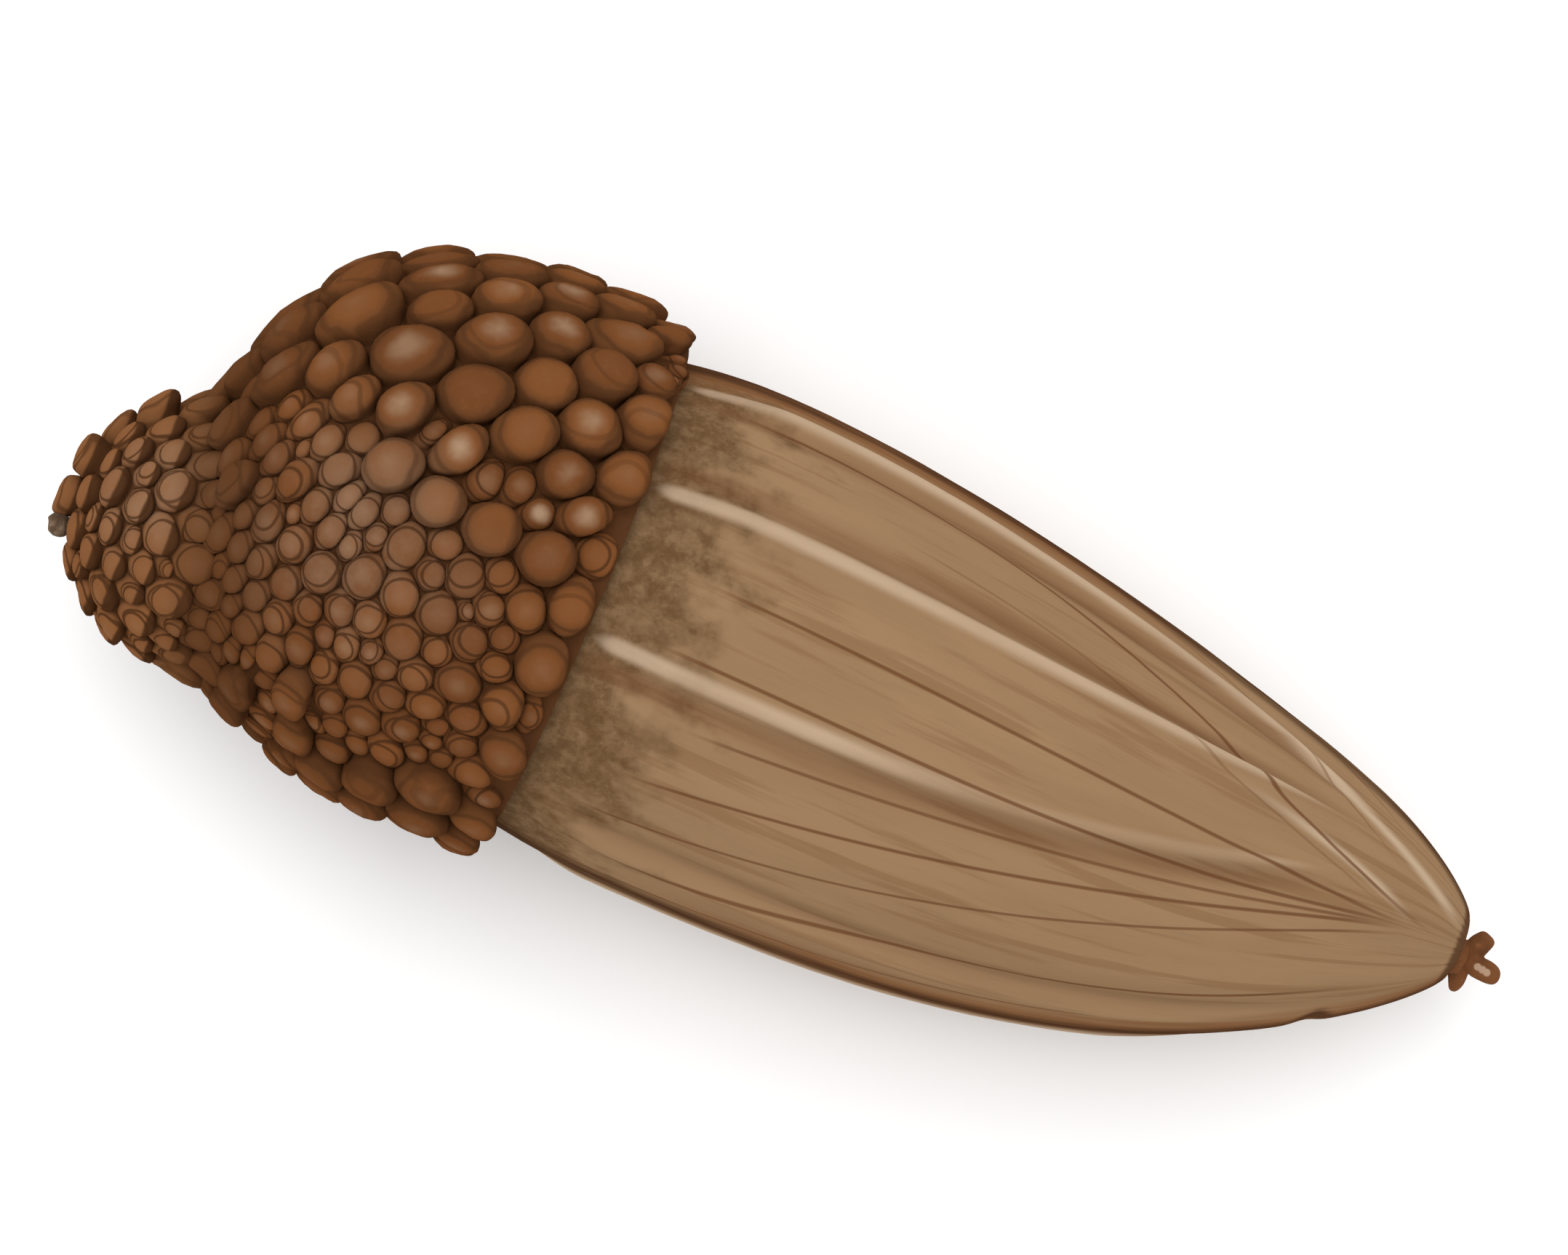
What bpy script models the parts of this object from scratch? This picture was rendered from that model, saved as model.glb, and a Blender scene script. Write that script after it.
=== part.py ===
"""Long, tapering acorn in its warty cup, lying on its side.

Four pieces: the nut, the cup with its scales, the stub of the stalk and the dried style at the tip. Each is
modelled along the acorn's own axis: +X runs from the stalk to the tip, and x = 0 is the middle of the cup's
rim. An empty then tips that axis, so that the acorn rests on the scales under its cup and on the nut's side.
"""

import math
import random

import bmesh
import bpy
import numpy as np
from mathutils import Matrix, Vector

MM = 0.001
PIECES = "Acorn"
CUTTERS = "Acorn cutters"

# Rest: where the middle of the rim is, and how far the tip dips below the cup
RIM_AT = Vector((-8.716, -0.03, 10.49)) * MM
DIP = math.radians(5.3)
GROUND_SIDE = 120 * MM
GROUND_DEPTH = 10 * MM

# Nut
NUT_RADIUS = 9.92 * MM
NUT_WIDEST_AT = 4.4 * MM
NUT_BASE_AT = -12.0 * MM
NUT_POINT_AT = 36.8 * MM  # where the taper would end if the tip were not blunt
NUT_END_AT = 36.15 * MM
NUT_END_ROUNDING = 0.12 * MM
NEAR_END = 20  # roundings from the end, beyond which the blunt tip changes nothing
NUT_TAPER = 1.25  # 1 is an ellipse, more is a sharper taper
NUT_BELLY = 0.66 * MM  # how far the nut bows towards -Y
BOW_LENGTH = 38 * MM
BOW_LATE = 1.25  # more than 1 puts the belly nearer the tip
BOW_SHARP = 1.5
NUT_TIP_BACK = 0.35 * MM  # and how far its tip comes back
TIP_BACK_FROM = 24 * MM
NUT_RINGS = 28

# Ridges along the nut, as angles round its axis from +Y towards +Z
RIDGE_ANGLES = (26, 61, 98, 148, 188, 226, 307, 342)
RIDGE_HEIGHT = 0.34 * MM
RIDGE_HALF_WIDTH = math.radians(2.6)
FURROW_ANGLE = math.radians(5.6)  # from a ridge's crest to the furrow beside it
FURROW_SHARE = 0.45  # a furrow's depth, as a share of its ridge's height
RIDGE_COLUMNS = (-8.5, -5.6, -2.8, -1.4, 0, 1.4, 2.8, 5.6, 8.5)
PLAIN_COLUMN_GAP = 9.0
RIDGE_START = 0.3 * MM
RIDGE_FULL = 4.0 * MM
RIDGE_FADE = 24.0 * MM
RIDGE_END = 32.5 * MM
# The grain drifts round the nut near the tip: its middle, spread and amount, in degrees
DRIFTS = ((95, 35, -16), (24, 16, 8), (300, 40, 12))
DRIFT_FULL_AT = 26 * MM
DRIFT_LATE = 3
DRIFT_MOST = 1.6

# Cup: a deep bowl with a round bud of smaller scales behind it. These are its form between the scales
CUP_RADIUS = 10.2 * MM
CUP_WIDEST_AT = -4.5 * MM
CUP_BACK_LENGTH = 10.5 * MM
CUP_SQUARENESS = 2.38  # 2 is an ellipse
LIP_AT = -0.35 * MM
LIP_RADIUS = 10.1 * MM
LIP_POINTS = 44
# Samples of the cup's profile, and the polar angle of its lip on the sphere that its scales are set out on
BUD_SAMPLES = 40
BACK_SAMPLES = 60
SIDE_SAMPLES = 12
POLE_SAMPLES = 3
LIP_POLAR = math.radians(125)
CAVITY_GAP = 0.2 * MM
CAVITY_RINGS = 8
CAVITY_REACH = 0.93  # how much of the way to the bowl's middle is ringed, before the flat bottom
BUD_RADIUS = 4.85 * MM
BUD_LENGTH = 5.05 * MM
BUD_SQUARENESS = 2.3
BUD_REACH = 1.2 * BUD_RADIUS  # what lies behind the crease and further out than this is the bowl's
BUD_AT = -14.3 * MM
# The back of the cup leans to -Y, and the bud's axis turns with it
LEAN_FROM = -4.0 * MM
LEAN = 3.6 * MM
LEAN_TURN = math.radians(17.5)
LEAN_LATE = 3.8
TURN_LATE = 2

# Scales: width round the cup, length towards the rim, height to the shoulder and from there to the crown,
# width of the slope up to the shoulder, and push towards the rim
SHELL_SCALE = {"width": 2.15, "length": 2.15, "height": 0.64, "crown": 0.22, "slope": 0.24, "push": 0.1}
BUD_SCALE = {"width": 1.75, "length": 1.55, "height": 0.44, "crown": 0.15, "slope": 0.17, "push": 0.12}
SMALLEST_SCALE = 0.95 * MM * MM
SCALE_SEED = 11
SCALE_SCATTER = 0.15  # of a scale's size
SCALE_HEIGHT_SPREAD = 0.2
SCALE_ROUNDNESS = 0.6  # 0 keeps a scale's corners, 1 makes its shoulder a circle
PIT_DEPTH = 0.16 * MM  # where three scales meet
LARGE_SCALES_AT = math.radians(35)  # the flank where scales are widest
LARGE_SCALES = 0.2  # how much wider than the mean
CREASE_CLEAR = 1.6 * MM  # scales are lower within this distance of the crease behind the bowl
CREASE_HEIGHT = 0.45
FIRST_ROW_AT = 1.15 * MM
LAST_ROW_TO_LIP = 0.9 * MM
WIDEST_SLOPE = 0.4  # of a scale's reach
# The last row's scales are drawn out over the lip, to this far past it, and by no more than the limit
PAST_LIP = 0.15 * MM
MOST_DRAWN_OUT = 0.42 * MM
LAST_ROW_GAP = 0.8 * MM

# Stalk stub on the bud, turned round its own axis
STALK_CLEAR = 0.6 * MM  # no scale stands within this distance of the stub
STALK_RADIUS = 0.3 * MM
STALK_KNOB_RADIUS = 0.46 * MM
STALK_ROOT = 0.7 * MM
STALK_OUT = 1.15 * MM
STALK_STEPS = 14
KNOB_STEPS = 7
AXIS_MERGE = 0.02 * MM

# Style on the nut's blunt end: a short column and three stigma lobes
STYLE_RADIUS = 0.72 * MM
STYLE_ROOT = 0.6 * MM
STYLE_COLUMN = 0.65 * MM
# Each lobe: angle round the axis, how far it leans from the axis, length, thickness
STYLE_LOBES = ((4, 72, 1.66, 0.88), (112, 26, 1.33, 1.1), (202, 84, 1.5, 0.84))
LOBE_AHEAD = 0.32  # how far a lobe's middle is from the column's end, as a share of its length
LOBES_AT = 0.85  # of the column's length
LOBE_SEGMENTS = 12
LOBE_RINGS = 8
COLUMN_SEGMENTS = 14
SOCKET_GAP = 0.1 * MM
SOCKET_SEGMENTS = 20

MATERIALS = {
    "nut_skin": ((0.33, 0.21, 0.117), 0.45),
    "cup_scale": ((0.175, 0.067, 0.024), 0.8),
    "stalk_bark": ((0.115, 0.065, 0.035), 0.85),
    "style_brown": ((0.175, 0.067, 0.024), 0.6),
}


def smoothstep(value):
    value = min(1.0, max(0.0, value))
    return value * value * (3 - 2 * value)


# Scene helpers
def clear_scene():
    for obj in list(bpy.data.objects):
        bpy.data.objects.remove(obj, do_unlink=True)


def new_collection(name):
    collection = bpy.data.collections.new(name)
    bpy.context.scene.collection.children.link(collection)
    return collection


def make_material(name):
    colour, roughness = MATERIALS[name]
    material = bpy.data.materials.new(name)
    material.use_nodes = True
    shader = material.node_tree.nodes["Principled BSDF"]
    shader.inputs["Base Color"].default_value = (*colour, 1.0)
    shader.inputs["Roughness"].default_value = roughness
    shader.inputs["Metallic"].default_value = 0.0
    return material


def object_from(bm, name, collection, parent):
    """The bmesh as a smooth-shaded object in the acorn's own axes."""
    mesh = bpy.data.meshes.new(name)
    bm.to_mesh(mesh)
    bm.free()
    mesh.shade_smooth()
    obj = bpy.data.objects.new(name, mesh)
    obj.parent = parent
    collection.objects.link(obj)
    return obj


def subtract(obj, cutter):
    cut = obj.modifiers.new(f"less {cutter.name}", "BOOLEAN")
    cut.operation = "DIFFERENCE"
    cut.solver = "MANIFOLD"
    cut.object = cutter


def round_cutter(name, radius, start, axis, depth, collection, parent):
    """A cylinder that runs from start back along -axis by depth, and out past the surface by as much."""
    bm = bmesh.new()
    bmesh.ops.create_cone(
        bm, cap_ends=True, segments=SOCKET_SEGMENTS, radius1=radius, radius2=radius, depth=2 * depth
    )
    turn = axis.to_track_quat("Z", "Y").to_matrix().to_4x4()
    bmesh.ops.transform(bm, matrix=Matrix.Translation(start) @ turn, verts=bm.verts)
    cutter = object_from(bm, name, collection, parent)
    cutter.hide_render = True
    cutter.display_type = "WIRE"
    return cutter


def ground_cutter(collection):
    """A slab under the resting plane: it wears the small flats that the acorn lies on."""
    bm = bmesh.new()
    bmesh.ops.create_cube(bm, size=1)
    bmesh.ops.scale(bm, vec=(GROUND_SIDE, GROUND_SIDE, GROUND_DEPTH), verts=bm.verts)
    bmesh.ops.translate(bm, vec=(0, 0, -GROUND_DEPTH / 2), verts=bm.verts)
    cutter = object_from(bm, "below_the_ground", collection, None)
    cutter.hide_render = True
    cutter.display_type = "WIRE"
    return cutter


# Nut
def nut_outline(polar):
    """(x, radius) of the nut at a polar angle: 0 at the tip, pi at the base."""
    forward = math.cos(polar)
    if forward >= 0:
        x = NUT_WIDEST_AT + (NUT_POINT_AT - NUT_WIDEST_AT) * forward
        radius = NUT_RADIUS * math.sin(polar) ** NUT_TAPER
    else:
        x = NUT_WIDEST_AT + (NUT_WIDEST_AT - NUT_BASE_AT) * forward
        radius = NUT_RADIUS * math.sin(polar)
    short_of_end = (NUT_END_AT - x) / NUT_END_ROUNDING
    if short_of_end < NEAR_END:
        x = NUT_END_AT - NUT_END_ROUNDING * math.log1p(math.exp(short_of_end))
    return x, radius


def grain_drift(angle, x):
    """How far the grain, which runs at this angle under the rim, has drifted round the nut at x."""
    share = min(max(0.0, x / DRIFT_FULL_AT) ** DRIFT_LATE, DRIFT_MOST)
    turned = 0.0
    for middle, spread, amount in DRIFTS:
        away = (math.degrees(angle) - middle) / spread
        turned += math.radians(amount) * math.exp(-away * away)
    return turned * share


def ridge_relief(angle, x):
    """Height of the nut's surface above its plain form, for grain at this angle."""
    envelope = smoothstep((x - RIDGE_START) / (RIDGE_FULL - RIDGE_START))
    envelope *= 1 - smoothstep((x - RIDGE_FADE) / (RIDGE_END - RIDGE_FADE))
    relief = 0.0
    for number, ridge in enumerate(RIDGE_ANGLES):
        away = (angle - math.radians(ridge) + math.pi) % math.tau - math.pi
        furrow_side = 1 if number % 2 else -1
        crest = math.exp(-((away / RIDGE_HALF_WIDTH) ** 2))
        furrow = math.exp(-(((away + furrow_side * FURROW_ANGLE) / RIDGE_HALF_WIDTH) ** 2))
        relief += RIDGE_HEIGHT * (crest - FURROW_SHARE * furrow)
    return relief * envelope


def nut_point(angle, polar):
    x, radius = nut_outline(polar)
    reach = radius + ridge_relief(angle, x)
    turned = angle + grain_drift(angle, x)
    bow = NUT_BELLY * math.sin(math.pi * min(1.0, max(0.0, x / BOW_LENGTH)) ** BOW_LATE) ** BOW_SHARP
    bow -= NUT_TIP_BACK * smoothstep((x - TIP_BACK_FROM) / (NUT_END_AT - TIP_BACK_FROM))
    return Vector((x, reach * math.cos(turned) - bow, reach * math.sin(turned)))


def nut_columns():
    """Angles of the mesh's columns: close together over each ridge, and wide apart between them."""
    close = sorted((ridge + offset) % 360 for ridge in RIDGE_ANGLES for offset in RIDGE_COLUMNS)
    columns = []
    for here, after in zip(close, close[1:] + [close[0] + 360]):
        parts = max(1, round((after - here) / PLAIN_COLUMN_GAP))
        columns += [here + (after - here) * part / parts for part in range(parts)]
    return [math.radians(column) for column in columns]


def make_nut(collection, parent):
    columns = nut_columns()
    bm = bmesh.new()
    bmesh.ops.create_uvsphere(bm, u_segments=len(columns), v_segments=NUT_RINGS, radius=1)
    for vert in bm.verts:
        polar = math.acos(max(-1.0, min(1.0, vert.co.z)))
        turn = math.atan2(vert.co.y, vert.co.x) % math.tau
        column = round(turn / math.tau * len(columns)) % len(columns)
        vert.co = nut_point(columns[column], polar)
    bmesh.ops.recalc_face_normals(bm, faces=bm.faces)
    return object_from(bm, "nut", collection, parent)


# Cup
def cup_profile():
    """(x, radius, distance along the skin) from the stalk's foot to the lip, as if the cup did not lean."""
    turn = np.linspace(0, math.pi / 2, BUD_SAMPLES)
    bud_x = BUD_AT - BUD_LENGTH * np.cos(turn) ** (2 / BUD_SQUARENESS)
    bud_r = BUD_RADIUS * np.sin(turn) ** (2 / BUD_SQUARENESS)
    back = (1 - (BUD_RADIUS / CUP_RADIUS) ** CUP_SQUARENESS) ** (1 / CUP_SQUARENESS)
    rise = np.linspace(math.asin(back ** (CUP_SQUARENESS / 2)), 0, BACK_SAMPLES)
    shell_x = CUP_WIDEST_AT - CUP_BACK_LENGTH * np.sin(rise) ** (2 / CUP_SQUARENESS)
    shell_r = CUP_RADIUS * np.cos(rise) ** (2 / CUP_SQUARENESS)
    side = np.linspace(0, 1, SIDE_SAMPLES)[1:]
    side_x = CUP_WIDEST_AT + (LIP_AT - CUP_WIDEST_AT) * side
    side_r = CUP_RADIUS + (LIP_RADIUS - CUP_RADIUS) * side**2
    x = np.concatenate([bud_x, shell_x[1:], side_x])
    r = np.concatenate([bud_r, shell_r[1:], side_r])
    along = np.concatenate([[0], np.cumsum(np.hypot(np.diff(x), np.diff(r)))])
    return x, r, along


def on_the_cup(x, radius, angle):
    """A point of the cup, leaned over as the cup is."""
    share = min(1.0, max(0.0, (LEAN_FROM - x) / (LEAN_FROM - BUD_AT)))
    turn = LEAN_TURN * share**TURN_LATE
    behind = min(0.0, x - BUD_AT)
    middle = Vector((max(x, BUD_AT) + behind * math.cos(LEAN_TURN), -LEAN * share**LEAN_LATE, 0))
    middle.y += behind * math.sin(LEAN_TURN)
    sideways = Vector((-math.sin(turn), math.cos(turn), 0)) * math.cos(angle)
    return middle + radius * (sideways + Vector((0, 0, math.sin(angle))))


def sphere_map(r, along):
    """Polar angle on a unit sphere for each point of the profile, by a map that keeps small shapes' form."""
    steps = np.diff(along[POLE_SAMPLES:]) / ((r[POLE_SAMPLES:-1] + r[POLE_SAMPLES + 1 :]) / 2)
    spread = np.concatenate([[0], np.cumsum(steps)])
    polar = 2 * np.arctan(math.tan(LIP_POLAR / 2) * np.exp(spread - spread[-1]))
    return np.concatenate([np.linspace(0, polar[0], POLE_SAMPLES, endpoint=False), polar])


def sphere_point(polar, angle):
    return Vector((math.sin(polar) * math.cos(angle), math.sin(polar) * math.sin(angle), math.cos(polar)))


def row_distances(along, crease):
    """Distance from the stalk's foot of each row of scales, and the kind of scale in it."""
    bud_end = crease - BUD_SCALE["length"] * MM / 2
    shell_start = crease + SHELL_SCALE["length"] * MM / 2
    shell_end = along[-1] - LAST_ROW_TO_LIP
    rows = []
    for scale, first, last in ((BUD_SCALE, FIRST_ROW_AT, bud_end), (SHELL_SCALE, shell_start, shell_end)):
        count = round((last - first) / (scale["length"] * MM))
        rows += [(first + (last - first) * row / count, scale) for row in range(count + 1)]
    return rows


def scale_net():
    """The cup's skin as a net with one face for each scale, from the stalk's foot to the lip.

    The scales' middles are set out in rows on a sphere. The sphere's convex hull joins each to its
    neighbours, and poking its faces and turning its edges gives the cell round each middle.
    """
    x, r, along = cup_profile()
    polar = sphere_map(r, along)
    crease = BUD_RADIUS * math.pi / 2
    draw = random.Random(SCALE_SEED)
    bm = bmesh.new()
    middles = [bm.verts.new((0, 0, 1))]
    for number, (distance, scale) in enumerate(row_distances(along, crease)):
        ring = np.interp(distance, along, r)
        count = round(math.tau * ring / (scale["width"] * MM))
        for place in range(count):
            step = math.tau / count
            angle = step * (place + 0.5 * (number % 2) + draw.uniform(-1, 1) * SCALE_SCATTER)
            angle += LARGE_SCALES * math.sin(angle - LARGE_SCALES_AT)
            moved = distance + draw.uniform(-1, 1) * SCALE_SCATTER * scale["length"] * MM
            middles.append(bm.verts.new(sphere_point(np.interp(moved, along, polar), angle)))
    lip = [bm.verts.new(sphere_point(polar[-1], math.tau * k / LIP_POINTS)) for k in range(LIP_POINTS)]
    bmesh.ops.convex_hull(bm, input=bm.verts)
    across = [face for face in bm.faces if all(vert in lip for vert in face.verts)]
    bmesh.ops.delete(bm, geom=across, context="FACES_ONLY")
    hull_edges = [edge for edge in bm.edges if len(edge.link_faces) == 2]
    bmesh.ops.poke(bm, faces=bm.faces)
    for edge in hull_edges:
        bmesh.utils.edge_rotate(edge)
    bmesh.ops.dissolve_verts(bm, verts=middles)
    bmesh.ops.delete(bm, geom=[e for e in bm.edges if not e.link_faces], context="EDGES")
    for vert in bm.verts:
        spot = vert.co.normalized()
        distance = np.interp(math.acos(max(-1.0, min(1.0, spot.z))), polar, along)
        angle = math.atan2(spot.y, spot.x)
        at, radius = float(np.interp(distance, along, x)), float(np.interp(distance, along, r))
        vert.co = on_the_cup(at, radius, angle)
    bmesh.ops.reverse_faces(bm, faces=bm.faces)
    return bm, crease


def split_borders(bm, cells):
    """A new point in the middle of each border between scales, and a pit at each corner."""
    scales = set(cells)
    borders = [edge for edge in bm.edges if scales.issuperset(edge.link_faces)]
    corners = [vert for vert in bm.verts if scales.issuperset(vert.link_faces)]
    bm.normal_update()
    for vert in corners:
        vert.co -= vert.normal * PIT_DEPTH
    for edge in borders:
        bmesh.utils.edge_split(edge, edge.verts[0], 0.5)


def raise_scale(bm, cell, scale, size):
    """Lifts a face of the net to a rounded shoulder and a crown that leans towards the rim."""
    rimwards = Vector((1, 0, 0))
    push = (rimwards - rimwards.project(cell.normal)) * scale["push"] * MM
    lip_gap = LIP_AT - max(vert.co.x for vert in cell.verts)
    drawn_out = min(lip_gap + PAST_LIP, MOST_DRAWN_OUT) if lip_gap < LAST_ROW_GAP else 0.0
    reach = math.sqrt(cell.calc_area() / math.pi)
    slope = min(scale["slope"] * MM, WIDEST_SLOPE * reach)
    bmesh.ops.inset_individual(bm, faces=[cell], thickness=slope, depth=0, use_even_offset=False)
    middle = cell.calc_center_median()
    reaches = [(vert.co - middle).length for vert in cell.verts]
    reach = sum(reaches) / len(reaches)
    lift = cell.normal * scale["height"] * MM * size + push + rimwards * drawn_out
    for vert, here in zip(cell.verts, reaches):
        vert.co = middle + (vert.co - middle) * (reach / here) ** SCALE_ROUNDNESS + lift
    poked = bmesh.ops.poke(bm, faces=[cell])
    crown = lift.normalized() * scale["crown"] * MM * size + push
    bmesh.ops.translate(bm, vec=crown, verts=poked["verts"])


def raise_scales(bm):
    draw = random.Random(SCALE_SEED + 1)
    cells = [face for face in bm.faces if face.calc_area() > SMALLEST_SCALE]
    bud_pole = on_the_cup(BUD_AT - BUD_LENGTH, 0, 0)
    crease_middle = on_the_cup(BUD_AT, 0, 0)
    bud_axis = Vector((math.cos(LEAN_TURN), math.sin(LEAN_TURN), 0))
    cells = [cell for cell in cells if (cell.calc_center_median() - bud_pole).length > STALK_CLEAR]
    split_borders(bm, cells)
    for cell in cells:
        middle = cell.calc_center_median()
        past_crease = (middle - crease_middle).dot(bud_axis)
        aside = (middle - crease_middle - bud_axis * past_crease).length
        scale = BUD_SCALE if past_crease < 0 and aside < BUD_REACH else SHELL_SCALE
        from_crease = math.hypot(past_crease, aside - BUD_RADIUS)
        size = 1 + draw.uniform(-1, 1) * SCALE_HEIGHT_SPREAD
        size *= CREASE_HEIGHT + (1 - CREASE_HEIGHT) * smoothstep(from_crease / CREASE_CLEAR)
        raise_scale(bm, cell, scale, size)


def line_cavity(bm):
    """Turns the lip in and lines the bowl, a small gap away from the nut's base."""
    ring = [edge for edge in bm.edges if edge.is_boundary]
    depth = NUT_WIDEST_AT - NUT_BASE_AT + CAVITY_GAP
    start = math.acos((NUT_WIDEST_AT - LIP_AT) / depth)
    for number in range(CAVITY_RINGS):
        extruded = bmesh.ops.extrude_edge_only(bm, edges=ring)["geom"]
        ring = [item for item in extruded if isinstance(item, bmesh.types.BMEdge)]
        turn = start * (1 - CAVITY_REACH * number / (CAVITY_RINGS - 1))
        x = NUT_WIDEST_AT - depth * math.cos(turn)
        radius = (NUT_RADIUS + CAVITY_GAP) * math.sin(turn)
        for vert in {vert for edge in ring for vert in edge.verts}:
            angle = math.atan2(vert.co.z, vert.co.y)
            vert.co = (x, radius * math.cos(angle), radius * math.sin(angle))
    bmesh.ops.contextual_create(bm, geom=ring)


def make_cup(collection, parent):
    bm, crease = scale_net()
    raise_scales(bm)
    line_cavity(bm)
    bmesh.ops.triangulate(bm, faces=bm.faces)
    bmesh.ops.recalc_face_normals(bm, faces=bm.faces)
    return object_from(bm, "cup", collection, parent)


# Stalk and style
def make_stalk(foot, axis, collection, parent):
    """A short neck with a rounded, broken end, turned round its axis by a Screw modifier."""
    knob_at = STALK_OUT - STALK_KNOB_RADIUS
    under = math.asin(STALK_RADIUS / STALK_KNOB_RADIUS)
    arc = [under + (math.pi - under) * step / KNOB_STEPS for step in range(KNOB_STEPS + 1)]
    knob = [(STALK_KNOB_RADIUS * math.sin(t), knob_at - STALK_KNOB_RADIUS * math.cos(t)) for t in arc]
    outline = [(0.0, -STALK_ROOT), (STALK_RADIUS, -STALK_ROOT), (STALK_RADIUS, 0.0), *knob]
    outline[-1] = (0.0, outline[-1][1])
    bm = bmesh.new()
    verts = [bm.verts.new((radius, 0, height)) for radius, height in reversed(outline)]
    for pair in zip(verts, verts[1:]):
        bm.edges.new(pair)
    stalk = object_from(bm, "stalk", collection, parent)
    stalk.location = foot
    stalk.rotation_mode = "QUATERNION"
    stalk.rotation_quaternion = axis.to_track_quat("Z", "Y")
    screw = stalk.modifiers.new("turn", "SCREW")
    screw.steps = screw.render_steps = STALK_STEPS
    screw.use_merge_vertices = True
    screw.merge_threshold = AXIS_MERGE
    return stalk


def style_lobe(angle, lean, length, thickness):
    """One stigma lobe: a long ellipsoid that leans out from the column's end."""
    bm = bmesh.new()
    bmesh.ops.create_uvsphere(bm, u_segments=LOBE_SEGMENTS, v_segments=LOBE_RINGS, radius=0.5)
    bmesh.ops.scale(bm, vec=(thickness * MM, thickness * MM, length * MM), verts=bm.verts)
    bmesh.ops.translate(bm, vec=(0, 0, length * MM * LOBE_AHEAD), verts=bm.verts)
    out = Vector((0, math.cos(math.radians(angle)), math.sin(math.radians(angle))))
    towards = Vector((1, 0, 0)) * math.cos(math.radians(lean)) + out * math.sin(math.radians(lean))
    turn = towards.to_track_quat("Z", "Y").to_matrix().to_4x4()
    start = Vector((NUT_END_AT + STYLE_COLUMN * LOBES_AT, 0, 0))
    bmesh.ops.transform(bm, matrix=Matrix.Translation(start) @ turn, verts=bm.verts)
    return bm


def make_style(collection, parent):
    height = STYLE_ROOT + STYLE_COLUMN
    bm = bmesh.new()
    bmesh.ops.create_cone(
        bm, cap_ends=True, segments=COLUMN_SEGMENTS, radius1=STYLE_RADIUS, radius2=STYLE_RADIUS, depth=height
    )
    turn = Vector((1, 0, 0)).to_track_quat("Z", "Y").to_matrix().to_4x4()
    middle = Vector((NUT_END_AT + (STYLE_COLUMN - STYLE_ROOT) / 2, 0, 0))
    bmesh.ops.transform(bm, matrix=Matrix.Translation(middle) @ turn, verts=bm.verts)
    style = object_from(bm, "style", collection, parent)
    lobes = new_collection("style lobes")
    for number, lobe in enumerate(STYLE_LOBES):
        object_from(style_lobe(*lobe), f"style_lobe_{number}", lobes, parent)
    join = style.modifiers.new("lobes", "BOOLEAN")
    join.operation = "UNION"
    join.operand_type = "COLLECTION"
    join.collection = lobes
    bpy.context.view_layer.update()
    evaluated = style.evaluated_get(bpy.context.evaluated_depsgraph_get())
    style.data = bpy.data.meshes.new_from_object(evaluated)
    style.modifiers.clear()
    for obj in list(lobes.objects):
        bpy.data.objects.remove(obj, do_unlink=True)
    bpy.data.collections.remove(lobes)
    return style


def main():
    clear_scene()
    pieces = new_collection(PIECES)
    cutters = new_collection(CUTTERS)
    axis = bpy.data.objects.new("acorn_axis", None)
    axis.location = RIM_AT
    axis.rotation_euler = (0, DIP, 0)
    pieces.objects.link(axis)

    bud_axis = Vector((-math.cos(LEAN_TURN), -math.sin(LEAN_TURN), 0))
    foot = on_the_cup(BUD_AT - BUD_LENGTH, 0, 0)
    tip = Vector((NUT_END_AT, 0, 0))
    forward = Vector((1, 0, 0))

    nut = make_nut(pieces, axis)
    cup = make_cup(pieces, axis)
    stalk = make_stalk(foot, bud_axis, pieces, axis)
    style = make_style(pieces, axis)

    stalk_socket = round_cutter(
        "stalk_socket", STALK_RADIUS + SOCKET_GAP, foot, bud_axis, STALK_ROOT + SOCKET_GAP, cutters, axis
    )
    style_socket = round_cutter(
        "style_socket", STYLE_RADIUS + SOCKET_GAP, tip, forward, STYLE_ROOT + SOCKET_GAP, cutters, axis
    )
    ground = ground_cutter(cutters)
    subtract(cup, stalk_socket)
    subtract(nut, style_socket)
    subtract(cup, ground)
    subtract(nut, ground)

    materials = {"nut": "nut_skin", "cup": "cup_scale", "stalk": "stalk_bark", "style": "style_brown"}
    for piece in (nut, cup, stalk, style):
        piece.data.materials.append(make_material(materials[piece.name]))


main()
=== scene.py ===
"""Looks of a long, tapering acorn in its warty cup, lying on its side.

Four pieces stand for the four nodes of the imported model: the nut, the cup with its scales, the stub of the
stalk and the dried style at the tip. Lengths are in millimetres until a piece is put in its place. Each piece
is worked out along the acorn's own axis, where +X runs from the stalk to the tip and x = 0 is the middle of
the cup's rim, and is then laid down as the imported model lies.
"""

import math
import random

import bmesh
import bpy
import numpy as np
from bpy.props import FloatProperty, FloatVectorProperty, IntProperty, PointerProperty
from mathutils import Matrix, Vector, geometry, noise


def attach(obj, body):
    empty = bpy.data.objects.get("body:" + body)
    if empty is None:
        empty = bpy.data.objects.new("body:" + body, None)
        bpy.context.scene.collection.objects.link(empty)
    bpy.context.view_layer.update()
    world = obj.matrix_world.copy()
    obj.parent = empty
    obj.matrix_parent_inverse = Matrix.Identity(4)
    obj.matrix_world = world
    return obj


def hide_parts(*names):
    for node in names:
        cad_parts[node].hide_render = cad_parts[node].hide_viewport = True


bl_info = {
    "name": "Acorn",
    "version": (1, 0, 0),
    "blender": (4, 5, 0),
    "location": "3D View > Sidebar > Acorn",
    "description": "Builds a long acorn with its cup, stalk and style",
    "category": "Add Mesh",
}

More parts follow.
